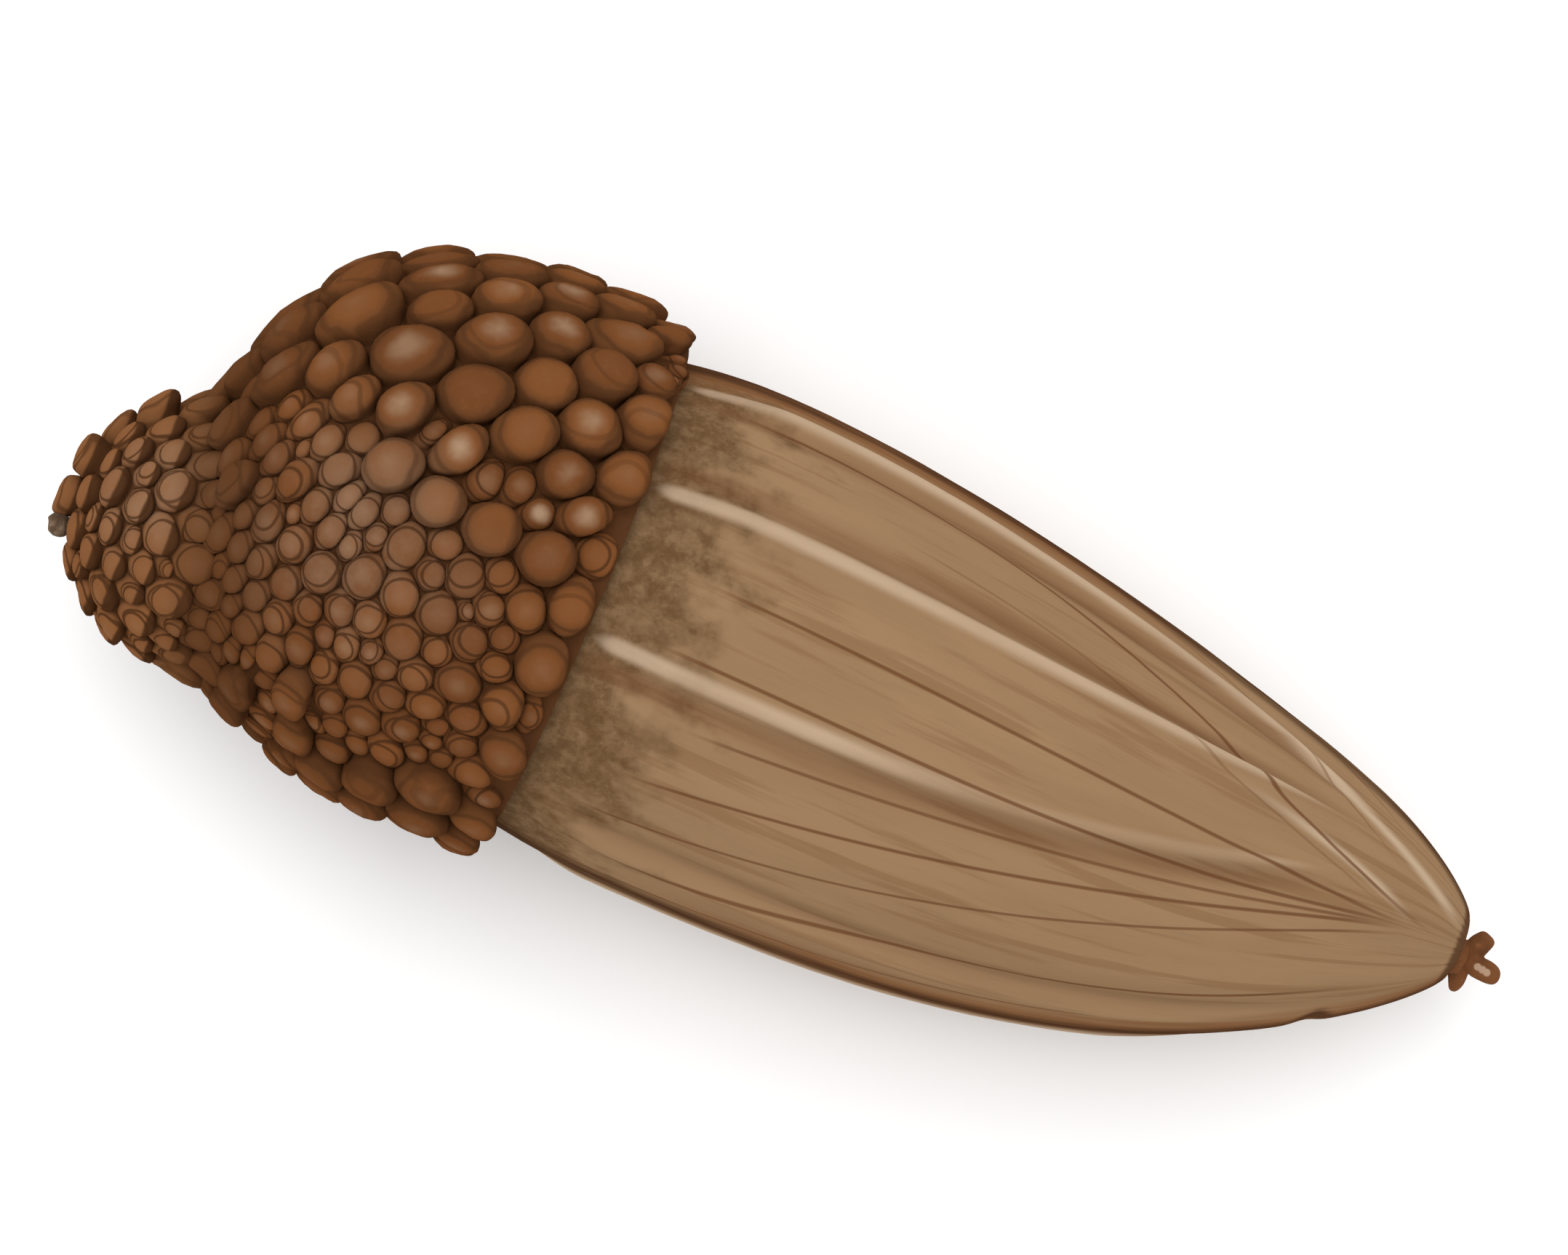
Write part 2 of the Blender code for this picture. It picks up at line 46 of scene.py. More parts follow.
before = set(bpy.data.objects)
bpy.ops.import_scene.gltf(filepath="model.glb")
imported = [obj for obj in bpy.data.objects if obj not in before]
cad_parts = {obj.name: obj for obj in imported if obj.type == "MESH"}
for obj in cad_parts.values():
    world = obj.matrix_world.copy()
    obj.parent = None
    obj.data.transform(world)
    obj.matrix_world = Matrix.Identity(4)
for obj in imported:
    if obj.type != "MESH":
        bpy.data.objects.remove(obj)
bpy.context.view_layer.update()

MM = 0.001
BODY = "root"

# How the acorn lies: where the middle of the rim is, and how far the tip dips below the cup
RIM_AT = Vector((-8.716, -0.03, 10.49))
DIP = math.radians(5.3)
LAID_DOWN = Matrix.Scale(MM, 4) @ Matrix.Translation(RIM_AT) @ Matrix.Rotation(DIP, 4, "Y")

# Nut: its form without relief
NUT_RADIUS = 9.92
NUT_WIDEST_AT = 4.4
NUT_BASE_AT = -12.0
NUT_POINT_AT = 36.8
NUT_END_AT = 36.15
NUT_END_ROUNDING = 0.12
NEAR_END = 20
NUT_TAPER = 1.25
NUT_BELLY = 0.66
BOW_LENGTH = 38
BOW_LATE = 1.25
BOW_SHARP = 1.5
NUT_TIP_BACK = 0.35
TIP_BACK_FROM = 24

# Ridges along the nut, as angles round its axis from +Y towards +Z
RIDGE_ANGLES = (26, 61, 98, 148, 188, 226, 307, 342)
RIDGE_HALF_WIDTH = 2.6
FURROW_ANGLE = 5.6
FURROW_SHARE = 0.45
RIDGE_START = 0.3
RIDGE_FULL = 4.0
RIDGE_FADE = 24.0
RIDGE_END = 32.5
DRIFTS = ((95, 35, -16), (24, 16, 8), (300, 40, 12))
DRIFT_FULL_AT = 26
DRIFT_LATE = 3
DRIFT_MOST = 1.6
COLUMN_STEPS = (0.6, 1.1)  # how wide a column of faces is over a ridge and between two, times the even width
STREAKS_ROUND = 9  # how often the fine streaks change round the nut
STREAKS_ALONG = 0.16  # and along it, for each millimetre
STREAK_FRACTAL = (0.8, 2.2, 4)
STREAKS_FADE_UNDER = 2  # the radius under which the streaks grow shallower
NICK_AT = 31.6  # a small nick in the nut's lower side
NICK_LENGTH = 0.5
NICK_DEPTH = 0.16
NICK_SIDE = 180
NICK_ANGLE = 30
SEAM_ANGLE = -90  # the grain map's seam runs along the underside

# Markings of the nut: distances are along it, and a pair says from where to where a marking fades
PLAIN_RIDGE = 148  # this ridge keeps the skin's colour: its painted highlight and painted furrow shade are weak
PLAIN_RIDGE_DULLNESS = 0.75
PLAIN_RIDGE_WIDTH = 9
FADING_RIDGE = 92  # and this one's painted highlight fades half of the way along the nut
FADING_RIDGE_WIDTH = (9.0, 15.0)
FADING_RIDGE_AT = (9.0, 17.0)
RIDGE_HIGHLIGHT_FROM = (-0.8, 1.0)  # the painted highlight on the ridges is there before their height
RIM_SHADE_TO = (1.2, 5.2)
RIM_SHADE_RAGGED = 12.0
BAND_WIDTH = (0.35, 1.0)
UPPER_BAND_TO = (14.0, 26.0)
LOWER_BAND_FROM = (3.0, 14.0)
# A line of painted shade along each side of the nut, where its skin turns down
SIDE_SHADE_LINE_WIDTH = (0.14, 0.46)
NICK_SHADE = 0.9
END_SHADE_FROM = (35.55, 35.8)
SKIN_DARKER = (0.252, 0.1529, 0.079, 1)
SKIN_STREAK = (0.189, 0.1008, 0.0462, 1)
SKIN_FIBRE = (0.1848, 0.1092, 0.0588, 1)
RIM_SHADE = (0.105, 0.0554, 0.0235, 1)
REDDISH_BAND = (0.185, 0.076, 0.029, 1)
# Colour of the painted shade line along the nut's sides
SIDE_SHADE_LINE = (0.0588, 0.0252, 0.0118, 1)
END_SHADE = (0.0756, 0.0319, 0.0143, 1)

# Cup
CUP_RADIUS = 10.2
CUP_WIDEST_AT = -4.5
CUP_BACK_LENGTH = 10.5
CUP_SQUARENESS = 2.38
LIP_AT = -0.35
LIP_RADIUS = 10.1
LIP_POINTS = 44
BUD_SAMPLES = 40
BACK_SAMPLES = 60
SIDE_SAMPLES = 12
POLE_SAMPLES = 3
LIP_POLAR = math.radians(125)
CAVITY_GAP = 0.2
CAVITY_RINGS = 8
CAVITY_REACH = 0.93
BUD_RADIUS = 4.85
BUD_LENGTH = 5.05
BUD_SQUARENESS = 2.3
BUD_REACH = 1.2 * BUD_RADIUS
BUD_AT = -14.3
LEAN_FROM = -4.0
LEAN = 3.6
LEAN_TURN = math.radians(17.5)
LEAN_LATE = 3.8
TURN_LATE = 2
BUD_AXIS = Vector((math.cos(LEAN_TURN), math.sin(LEAN_TURN), 0))
CREASE_MIDDLE = Vector((BUD_AT, -LEAN, 0))

SHELL_SCALE = {"width": 2.15, "length": 2.15, "height": 0.64, "crown": 0.22, "push": 0.1}
BUD_SCALE = {"width": 1.75, "length": 1.55, "height": 0.56, "crown": 0.18, "push": 0.2}
SMALLEST_SCALE = 0.5
SCALE_SEED = 11
SCALE_SCATTER = 0.15
SCALE_HEIGHT_SPREAD = 0.2
PIT_DEPTH = 0.16
LARGE_SCALES_AT = math.radians(35)
LARGE_SCALES = 0.2
CREASE_CLEAR = 1.6
CREASE_HEIGHT = 0.45
FIRST_ROW_AT = 1.15
LAST_ROW_TO_LIP = 0.9
PAST_LIP = 0.15
MOST_DRAWN_OUT = 0.2
LAST_ROW_GAP = 0.8
WIDENED = 1.12  # the shoulder against its foot, because smoothing draws it in
SMALL_WIDENED = 1.2
LARGE_HEIGHT = 1.15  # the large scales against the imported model's, because smoothing lowers them
SHINGLED = (0.3, 1.0)  # how far the shell's and the bud's scales tip up towards the rim

# Scales with a painted highlight on their pale middle: where they are from above, as (x, y), and how pale
HIGHLIGHTS = (
    (-6.5, 3.3, 1.0), (-3.5, 2.9, 1.0), (-1.8, 2.4, 0.8), (-10.9, 8.3, 0.7), (-8.8, 9.2, 0.5),
    (-6.3, 9.7, 0.6), (-8.3, 7.6, 0.6), (-6.1, 8.0, 0.7), (-10.4, 6.2, 0.5), (-9.8, 4.4, 0.8),
    (-3.1, 6.7, 0.7), (-2.8, 3.7, 0.5), (-4.5, -10.3, 0.7),
)
LEAST_HIGHLIGHT = 0.3
STALK_CLEAR = 0.6

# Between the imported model's scales, the middle and one flank have small ones too
SMALL_BORDER = ((-16.0, 2.6), (-8.0, 3.3), (-3.2, 2.6), (0.0, 1.4))  # they lie below this line of (x, y)
SMALL_FROM = -15.6
SMALL_TO = -2.5
SMALL_ANGLES = (math.radians(15), math.radians(147))
SMALL_BUD_FROM = -19.0
WIDE_GAP = 1.15  # square millimetres between three middles that have room for another
FILLING_ROUNDS = 2
EVENING_ROUNDS = 3
FULL_REACH = (1.1, 0.85)  # a scale of the shell or the bud that reaches less from its middle is lower
CROWNED_REACH = 0.88  # and one that reaches less than this is raised by one storey only
LEAST_REACH = 0.05
SHOULDER_RISE = 0.55  # how high the lower storey counts as, where the upper one is 1
CROWN_SIZE = 0.8
ROUGHENING_SCALE = 0.9
ROUGHENING_SPREAD = 4.0
MOST_TIPPED = 0.8

# Colours of the cup, besides those of its settings
SCALE_DARKER = (0.1302, 0.0462, 0.0151, 1)
SCALE_WARMER = (0.1848, 0.0756, 0.0294, 1)
SCALE_DULLER = (0.1008, 0.037, 0.0134, 1)
# Painted shade towards the edge of each scale
SCALE_EDGE_SHADE = (0.08, 0.032, 0.0122, 1)
# Painted highlight on the middle of the scales
SCALE_PAINTED_HIGHLIGHT = (0.34, 0.225, 0.14, 1)
BUD_SCALE_TOP = (0.24, 0.103, 0.041, 1)
# Painted shadow in a crescent along the rimward edge of each scale, darkest on the bud
CRESCENT_SHADOW = (0.045, 0.018, 0.007, 1)
FINE_LOOP = (0.05, 0.02, 0.008, 1)
LARGE_REACH = (0.8, 1.05)
# Places of a pale haze painted as a soft highlight: a centre in the acorn's own axes and a radius
PAINTED_HAZE_PLACES = (((-9.8, -1.8, 9.6), 7.2), ((-17.0, -2.8, 5.0), 4.3))
# Painted shade in the crease between the bud and the shell: where it lies past the crease, and the width over
# which it fades
NECK_SHADE_AT = 0.4
NECK_SHADE_WIDTH = (0.6, 2.6)
STROKE_TURNS = 40.0  # spreads the scales' tones over many turns, so that each stroke lies its own way
STROKE_ASIDE = 0.4
STROKES_MISSING = 0.45  # the share of the scales that have no stroke
STROKE_DRAW = 7.0
LOOP_AT = 0.9
STROKE_AT = 0.85
LOOP_WIDTH = (0.03, 0.11)

# Stalk and style
STYLE_RADIUS = 0.72
STYLE_ROOT = 0.36
STYLE_COLUMN = 0.5
STYLE_WAIST = 0.12
STYLE_RIBS = 5
STYLE_RIB_HEIGHT = 0.06
STYLE_ROUNDING = 6
LOBES_AT = 0.85
LOBE_AHEAD = 0.32
LOBE_FLATNESS = 0.85
STYLE_LOBES = ((4, 64, 1.66, 0.8), (118, 19, 1.85, 0.86), (196, 84, 1.66, 0.7))  # angle, lean, length, width
STYLE_FINENESS = 0.04
SOFTENING = 3
STYLE_HIGHLIGHT = ((37.06, -0.07, 0.54), (37.26, -0.1, 0.6), (37.46, -0.135, 0.65))  # a painted highlight on one lobe; it runs through these places
HIGHLIGHT_RADIUS = 0.3
HIGHLIGHT_COLOUR = (0.38, 0.25, 0.165, 1)
STYLE_HOLLOWS = (0.084, 0.0311, 0.0118, 1)
STYLE_SPECKS = (0.2184, 0.0924, 0.042, 1)
STYLE_GRAIN = 500.0
STALK_RIBS = 7
STALK_RIB_HEIGHT = 0.05
BARK_HOLLOWS = (0.075, 0.046, 0.028, 1)
BARK_SPECKS = (0.2268, 0.168, 0.1176, 1)
BARK_GRAIN = 900.0


def smoothstep(value):
    value = min(1.0, max(0.0, value))
    return value * value * (3 - 2 * value)


# Sizes and colours that a user would change
def colour_property(name, description, colour):
    return FloatVectorProperty(
        name=name, description=description, subtype="COLOR", size=4, min=0, max=1, default=(*colour, 1)
    )


def number(name, description, default, least=0.0):
    return FloatProperty(name=name, description=description, default=default, min=least)


def count(name, description, default, least, most=1000):
    return IntProperty(name=name, description=description, default=default, min=least, max=most)


class NutSettings(bpy.types.PropertyGroup):
    columns: count("Columns between ridges", "Columns of faces in 10 degrees of the nut", 8, 2)
    rings: count("Rings", "Rings of faces along the nut", 230, 40)
    ridge_height: number("Ridge height", "Height of the ridges, in millimetres", 0.36)
    streaks: number("Streak depth", "Depth of the fine streaks, in millimetres", 0.03)
    skin: colour_property("Skin", "Colour of the nut's skin", (0.277, 0.169, 0.088))
    # A pale colour painted as a highlight along the ridges' crests and the pale lines
    crest: colour_property("Ridges", "Colour of the pale ridges", (0.456, 0.334, 0.226))
    # Also the colour of the painted shade in the furrows beside the ridges
    grain: colour_property("Grain", "Colour of the fine lines", (0.12, 0.046, 0.017))


class CupSettings(bpy.types.PropertyGroup):
    height: number("Scale height", "Height of the scales, times the packed model's", 1.12)
    smoothing: count("Smoothing", "Times that each face is divided", 2, 0, 3)
    roughening: number("Roughening", "How uneven a scale's face is, in millimetres", 0.07)
    dome: number("Dome", "How far a scale's middle is domed, in millimetres", 0.15)
    tip: number("Tip", "How far a scale tips up towards the rim, in millimetres", 0.28)
    scale: colour_property("Scales", "Colour of the scales", (0.166, 0.0598, 0.0186))
    # Painted shade low between the scales and in the crease at the neck
    crevice_shade: colour_property("Crevices", "Colour between the scales", (0.075, 0.03, 0.0115))
    # A pale haze painted as a soft highlight over the middle of the cup and of the bud
    painted_haze_colour: colour_property("Highlight_haze", "Colour of the pale bloom", (0.2772, 0.1764, 0.1092))


class EndSettings(bpy.types.PropertyGroup):
    bark: colour_property("Stalk", "Colour of the stalk's bark", (0.2, 0.13, 0.078))
    style: colour_property("Style", "Colour of the dried style", (0.1512, 0.0571, 0.0202))


class StageSettings(bpy.types.PropertyGroup):
    lens: number("Lens", "Focal length in millimetres", 150, 20)
    turn: FloatProperty(
        name="Turn", description="How the view is turned about the vertical", subtype="ANGLE",
        default=math.radians(22.7),
    )
    room: number("Room light", "Strength of the light from all round", 0.95)
    window: number("Window", "Power of the soft lamp, in watts", 1.2)
    floor: colour_property("Floor", "Colour of the floor", (0.97, 0.97, 0.97))


# Expressions that make nodes
def arithmetic(operation, swapped=False):
    """A method that adds a Math node between a wire and what stands beside it."""

    def method(wire, *values):
        values = (*values, wire) if swapped else (wire, *values)
        return wire.graph.math(operation, *values)

    return method


class Wire:
    """A node's output. Arithmetic on it adds Math nodes to the tree."""

    def __init__(self, graph, socket):
        self.graph = graph
        self.socket = socket

    def other(self, name):
        """Another output of the same node."""
        return Wire(self.graph, self.socket.node.outputs[name])

    __add__ = arithmetic("ADD")
    __radd__ = arithmetic("ADD", True)
    __sub__ = arithmetic("SUBTRACT")
    __rsub__ = arithmetic("SUBTRACT", True)
    __mul__ = arithmetic("MULTIPLY")
    __rmul__ = arithmetic("MULTIPLY", True)
    __truediv__ = arithmetic("DIVIDE")
    __rtruediv__ = arithmetic("DIVIDE", True)
    __pow__ = arithmetic("POWER")
    __abs__ = arithmetic("ABSOLUTE")


class Graph:
    """Adds nodes to one tree."""

    def __init__(self, tree):
        self.tree = tree

    def node(self, kind, settings=None, inputs=None, output=0):
        made = self.tree.nodes.new(kind)
        for name, value in (settings or {}).items():
            setattr(made, name, value)
        for name, value in (inputs or {}).items():
            if isinstance(value, Wire):
                self.tree.links.new(value.socket, made.inputs[name])
            else:
                made.inputs[name].default_value = value
        return Wire(self, made.outputs[output])

    def math(self, operation, *values):
        return self.node("ShaderNodeMath", {"operation": operation}, dict(enumerate(values)))

    def vector_math(self, operation, *values, output=0):
        return self.node("ShaderNodeVectorMath", {"operation": operation}, dict(enumerate(values)), output)

    def smooth(self, value, low, high, to_low=0.0, to_high=1.0):
        return self.node(
            "ShaderNodeMapRange",
            {"interpolation_type": "SMOOTHSTEP"},
            {"Value": value, "From Min": low, "From Max": high, "To Min": to_low, "To Max": to_high},
        )

    def mix(self, share, first, second):
        return self.node("ShaderNodeMix", {"data_type": "RGBA"}, {0: share, 6: first, 7: second}, 2)

    def vector(self, x, y, z):
        return self.node("ShaderNodeCombineXYZ", None, {0: x, 1: y, 2: z})

    def shifted(self, vector, shift):
        return self.node("ShaderNodeMapping", None, {"Vector": vector, "Location": shift})

    def noise(self, vector, scale, detail=2.0, roughness=0.5):
        return self.node(
            "ShaderNodeTexNoise", None,
            {"Vector": vector, "Scale": scale, "Detail": detail, "Roughness": roughness},
        )

    def attribute(self, name):
        return self.node("ShaderNodeAttribute", {"attribute_name": name}, None, "Fac")

    def own_place(self):
        """Where the surface is in the acorn's own axes, in millimetres."""
        position = self.node("ShaderNodeTexCoord", None, None, "Object")
        return self.node(
            "ShaderNodeMapping", {"vector_type": "TEXTURE"},
            {"Vector": position, "Location": RIM_AT * MM, "Rotation": (0, DIP, 0), "Scale": (MM, MM, MM)},
        )

    def blob(self, own, centre, radius):
        """1 at the centre, in the acorn's own axes, falling to 0 at a radius from it."""
        away = self.vector_math("DISTANCE", own, centre, output="Value")
        return 1 - self.smooth(away, 0.0, radius)


def new_material(name, gloss=0.04):
    """A material with a Principled shader: its graph, its shader and the material itself."""
    material = bpy.data.materials.new(name)
    material.use_nodes = True
    shader = material.node_tree.nodes["Principled BSDF"]
    shader.inputs["Specular IOR Level"].default_value = gloss
    return Graph(material.node_tree), shader, material


def feed(graph, shader, **wires):
    for name, wire in wires.items():
        graph.tree.links.new(wire.socket, shader.inputs[name.replace("_", " ")])


def emboss(g, shader, strength, distance, height):
    """Fine relief that is only shaded."""
    bump = g.node("ShaderNodeBump", None, {"Strength": strength, "Distance": distance * MM, "Height": height})
    feed(g, shader, Normal=bump)


# Pieces in the scene
def mesh_of(name, bm):
    mesh = bpy.data.meshes.new(name)
    bm.to_mesh(mesh)
    bm.free()
    return mesh


def put_in_scene(name, data):
    item = bpy.data.objects.new(name, data)
    bpy.context.scene.collection.objects.link(item)
    return item


def baked(blank):
    """The bmesh and the mesh that the blank's modifiers make of it. The blank is taken away."""
    bpy.context.view_layer.update()
    made = bpy.data.meshes.new_from_object(blank.evaluated_get(bpy.context.evaluated_depsgraph_get()))
    bm = bmesh.new()
    bm.from_mesh(made)
    blank.modifiers.clear()
    bpy.data.objects.remove(blank, do_unlink=True)
    return bm, made


def add_piece(name, bm, material):
    """The bmesh laid down in its place as a smooth-shaded piece, worn flat on the ground."""
    bmesh.ops.transform(bm, matrix=LAID_DOWN, verts=bm.verts)
    mesh = mesh_of(name, bm)
    mesh.shade_smooth()
    mesh.materials.append(material)
    for vert in mesh.vertices:
        vert.co.z = max(0.0, vert.co.z)
    return put_in_scene(name, mesh)


def stand_for(piece, node):
    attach(piece, BODY)
    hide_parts(node)


# Nut
def nut_outline(polar):
    """(x, radius) of the nut without its relief, from the tip at 0 to the base at pi."""
    forward = math.cos(polar)
    if forward >= 0:
        x = NUT_WIDEST_AT + (NUT_POINT_AT - NUT_WIDEST_AT) * forward
        radius = NUT_RADIUS * math.sin(polar) ** NUT_TAPER
    else:
        x = NUT_WIDEST_AT + (NUT_WIDEST_AT - NUT_BASE_AT) * forward
        radius = NUT_RADIUS * math.sin(polar)
    short_of_end = (NUT_END_AT - x) / NUT_END_ROUNDING
    if short_of_end < NEAR_END:
        x = NUT_END_AT - NUT_END_ROUNDING * math.log1p(math.exp(short_of_end))
    return x, radius


def grain_drift(angle, x):
    """How many degrees the grain has turned round the nut, this far along it."""
    share = min(max(0.0, x / DRIFT_FULL_AT) ** DRIFT_LATE, DRIFT_MOST)
    turned = sum(amount * math.exp(-(((angle - middle) / spread) ** 2)) for middle, spread, amount in DRIFTS)
    return turned * share


def ridge_share(x, start, full):
    """How much of a ridge is there at this distance along the nut."""
    risen = smoothstep((x - start) / (full - start))
    return risen * (1 - smoothstep((x - RIDGE_FADE) / (RIDGE_END - RIDGE_FADE)))


def ridge_section(angle):
    """(crest, furrow) at this angle round the nut, each from 0 to 1."""
    crest = furrow = 0.0
    for number, ridge in enumerate(RIDGE_ANGLES):
        away = (angle - ridge + 180) % 360 - 180
        furrow_side = 1 if number % 2 else -1
        crest += math.exp(-((away / RIDGE_HALF_WIDTH) ** 2))
        furrow += math.exp(-(((away + furrow_side * FURROW_ANGLE) / RIDGE_HALF_WIDTH) ** 2))
    return crest, furrow


def nut_angles(per_ten_degrees):
    """Angles of the columns of faces, closer together over the ridges."""
    angles = [float(SEAM_ANGLE)]
    while angles[-1] < SEAM_ANGLE + 360:
        away = min(abs((angles[-1] - ridge + 180) % 360 - 180) for ridge in RIDGE_ANGLES)
        angles.append(angles[-1] + 10 / per_ten_degrees * COLUMN_STEPS[away >= 2 * RIDGE_HALF_WIDTH])
    angles[-1] = SEAM_ANGLE + 360.0
    return angles


def nut_bow(x):
    """How far the nut's middle line lies to one side, this far along it."""
    bow = NUT_BELLY * math.sin(math.pi * min(1.0, max(0.0, x / BOW_LENGTH)) ** BOW_LATE) ** BOW_SHARP
    return bow - NUT_TIP_BACK * smoothstep((x - TIP_BACK_FROM) / (NUT_END_AT - TIP_BACK_FROM))


def nut_relief(settings, x, radius, angle):
    """How far the ridges, the streaks and the nick lift the skin here."""
    crest, furrow = ridge_section(angle)
    relief = settings.ridge_height * ridge_share(x, RIDGE_START, RIDGE_FULL) * (crest - FURROW_SHARE * furrow)
    turn = math.radians(angle)
    place = Vector((math.cos(turn) * STREAKS_ROUND, math.sin(turn) * STREAKS_ROUND, x * STREAKS_ALONG))
    streak = noise.fractal(place, *STREAK_FRACTAL, noise_basis="PERLIN_NEW")
    relief += settings.streaks * streak * min(1.0, radius / STREAKS_FADE_UNDER)
    from_nick = ((x - NICK_AT) / NICK_LENGTH) ** 2 + ((angle - NICK_SIDE) / NICK_ANGLE) ** 2
    return relief - NICK_DEPTH * math.exp(-from_nick)


def ridge_paint(x, angle):
    """(crest, furrow) here, each from 0 to 1: the painted highlight on the ridges' crests and the painted
    shade in their furrows.
    """
    painted = 1 - PLAIN_RIDGE_DULLNESS * math.exp(-(((angle - PLAIN_RIDGE) / PLAIN_RIDGE_WIDTH) ** 2))
    painted *= ridge_share(x, *RIDGE_HIGHLIGHT_FROM)
    return [part * painted for part in ridge_section(angle)]


def make_nut_mesh(settings):
    """The nut as one closed skin. Its grain map holds the angle round the axis and the distance along it."""
    angles = nut_angles(settings.columns)
    around = len(angles) - 1
    bm = bmesh.new()
    crest_highlight_of = bm.verts.layers.float.new("crest")
    furrow_shade_of = bm.verts.layers.float.new("furrow")
    girth_of = bm.verts.layers.float.new("girth")
    rows = []
    places = []
    for ring in range(1, settings.rings):
        x, radius = nut_outline(math.pi * ring / settings.rings)
        bow = nut_bow(x)
        row, row_places = [], []
        for angle in angles[:-1]:
            reach = radius + nut_relief(settings, x, radius, angle)
            turned = angle + grain_drift(angle % 360, x)
            turn = math.radians(turned)
            vert = bm.verts.new((x, reach * math.cos(turn) - bow, reach * math.sin(turn)))
            vert[crest_highlight_of], vert[furrow_shade_of] = ridge_paint(x, angle)
            vert[girth_of] = radius
            row.append(vert)
            row_places.append((turned / 360, x / NUT_END_AT))
        rows.append(row)
        row_places.append((row_places[0][0] + 1, row_places[0][1]))
        places.append(row_places)
    tip_x = nut_outline(0)[0]
    tip = bm.verts.new((tip_x, NUT_TIP_BACK, 0))
    base = bm.verts.new((nut_outline(math.pi)[0], 0, 0))
    map_of = bm.loops.layers.uv.new("grain_map")
    for upper, lower, upper_at, lower_at in zip(rows, rows[1:], places, places[1:]):
        for k in range(around):
            after = (k + 1) % around
            face = bm.faces.new((upper[k], lower[k], lower[after], upper[after]))
            corners = (upper_at[k], lower_at[k], lower_at[k + 1], upper_at[k + 1])
            for loop, at in zip(face.loops, corners):
                loop[map_of].uv = at
    ends = ((rows[0], places[0], tip, tip_x), (rows[-1], places[-1], base, NUT_BASE_AT))
    for row, at, pole, pole_x in ends:
        for k in range(around):
            face = bm.faces.new((row[k], row[(k + 1) % around], pole))
            for loop, spot in zip(face.loops, (at[k], at[k + 1], (at[k][0], pole_x / NUT_END_AT))):
                loop[map_of].uv = spot
    bmesh.ops.recalc_face_normals(bm, faces=bm.faces)
    return bm


# Fine lines along the nut: angle under the rim, angle where it meets the others, where it begins and ends in
# millimetres along the nut, how late it turns, its width, and how strong it is
GRAIN_LINES = (
    (31, 88, 1.5, 35, 2.8, 0.10, 0.9),
    (47, 84, 9.0, 33, 3.5, 0.07, 0.4),
    (78, 88, 2.5, 34, 6.0, 0.10, 0.9),
    (94, 86, 1.5, 34, 3.0, 0.10, 0.9),
    (110, 87, 4.0, 34, 1.5, 0.09, 0.8),
    (126, 87, 2.4, 34, 1.35, 0.10, 0.9),
    (138, 90, 1.0, 34, 1.6, 0.08, 0.8),
    (150, 128, 1.5, 33, 1.4, 0.10, 0.9),
    (165, 148, 0.5, 30, 1.2, 0.09, 0.7),
    (10, 62, 3.0, 33, 4.0, 0.07, 0.5),
    (-12, 40, 3.0, 33, 4.0, 0.09, 0.7),
    (-38, -60, 2.0, 34, 2.0, 0.10, 0.9),
    (-60, -80, 4.0, 34, 2.0, 0.08, 0.8),
    (195, 230, 2.0, 33, 3.0, 0.10, 0.9),
    (214, 240, 3.0, 33, 2.5, 0.08, 0.7),
    (238, 255, 1.0, 34, 2.0, 0.10, 0.9),
    (256, 262, 4.0, 33, 2.0, 0.08, 0.8),
)

# Pale lines of painted highlight that carry four ridges on to the tip, in the same terms
PAINTED_HIGHLIGHT_LINES = (
    (26, 66, 22.0, 36, 5.5, 0.42, 0.9),
    (59, 82, 24.0, 33.5, 9.0, 0.34, 0.8),
    (330, 300, 22.0, 35, 4.0, 0.36, 0.8),
    (208, 240, 22.0, 35, 4.0, 0.36, 0.8),
)


def lines_along(g, lines, angle, x, girth, core, rising, falling):
    """1 on these lines of the nut, 0 off them. Each is full over the core of its width, and comes and goes
    over the rising and falling distances at its two ends."""
    total = None
    for start, meet, begin, end, late, width, strength in lines:
        share = g.math("MINIMUM", g.math("MAXIMUM", x / end, 0.0), 1.0) ** late
        away = abs(angle - (start + share * (meet - start))) * girth * math.radians(1)
        line = (1 - g.smooth(away, width * core, width)) * strength
        line = line * g.smooth(x, begin, begin + rising) * (1 - g.smooth(x, end - falling, end))
        total = line if total is None else g.math("MAXIMUM", total, line)
    return total


def side_markings(g, colour, turn, x, girth, streaks, fibres):
    """The colour with the reddish band and a dark line of painted shade along each side of the nut, where its
    skin turns down.
    """
    side = g.math("COSINE", turn)  # 1 along the far side of the nut, -1 along the near one
    below = g.smooth(g.math("SINE", turn), 0.0, -0.3)
    in_from_side = girth * (1 - abs(side)) + below
    on_upper = g.smooth(side, -0.2, 0.2)
    whole_upper = 1 - on_upper * g.smooth(x, *UPPER_BAND_TO)
    whole_lower = 1 - (1 - on_upper) * (1 - g.smooth(x, *LOWER_BAND_FROM))
    band = (1 - g.smooth(in_from_side + (streaks - 0.5) * 1.2, *BAND_WIDTH)) * whole_upper * whole_lower
    colour = g.mix(band * 0.8, colour, REDDISH_BAND)
    nick = (1 - g.smooth(abs(x - NICK_AT), 0.0, NICK_SHADE)) * g.smooth(side, 0.0, -0.2)
    wander = (fibres - 0.5) * 0.35 + (streaks - 0.5) * 0.5
    # Painted shade: a dark line along each side of the nut, where its skin turns down
    line = 1 - g.smooth(abs(in_from_side + wander - 0.05 - nick * 0.35), *SIDE_SHADE_LINE_WIDTH)
    return g.mix(line * g.smooth(streaks + fibres, 0.82, 1.12, 0.62, 1.0), colour, SIDE_SHADE_LINE)


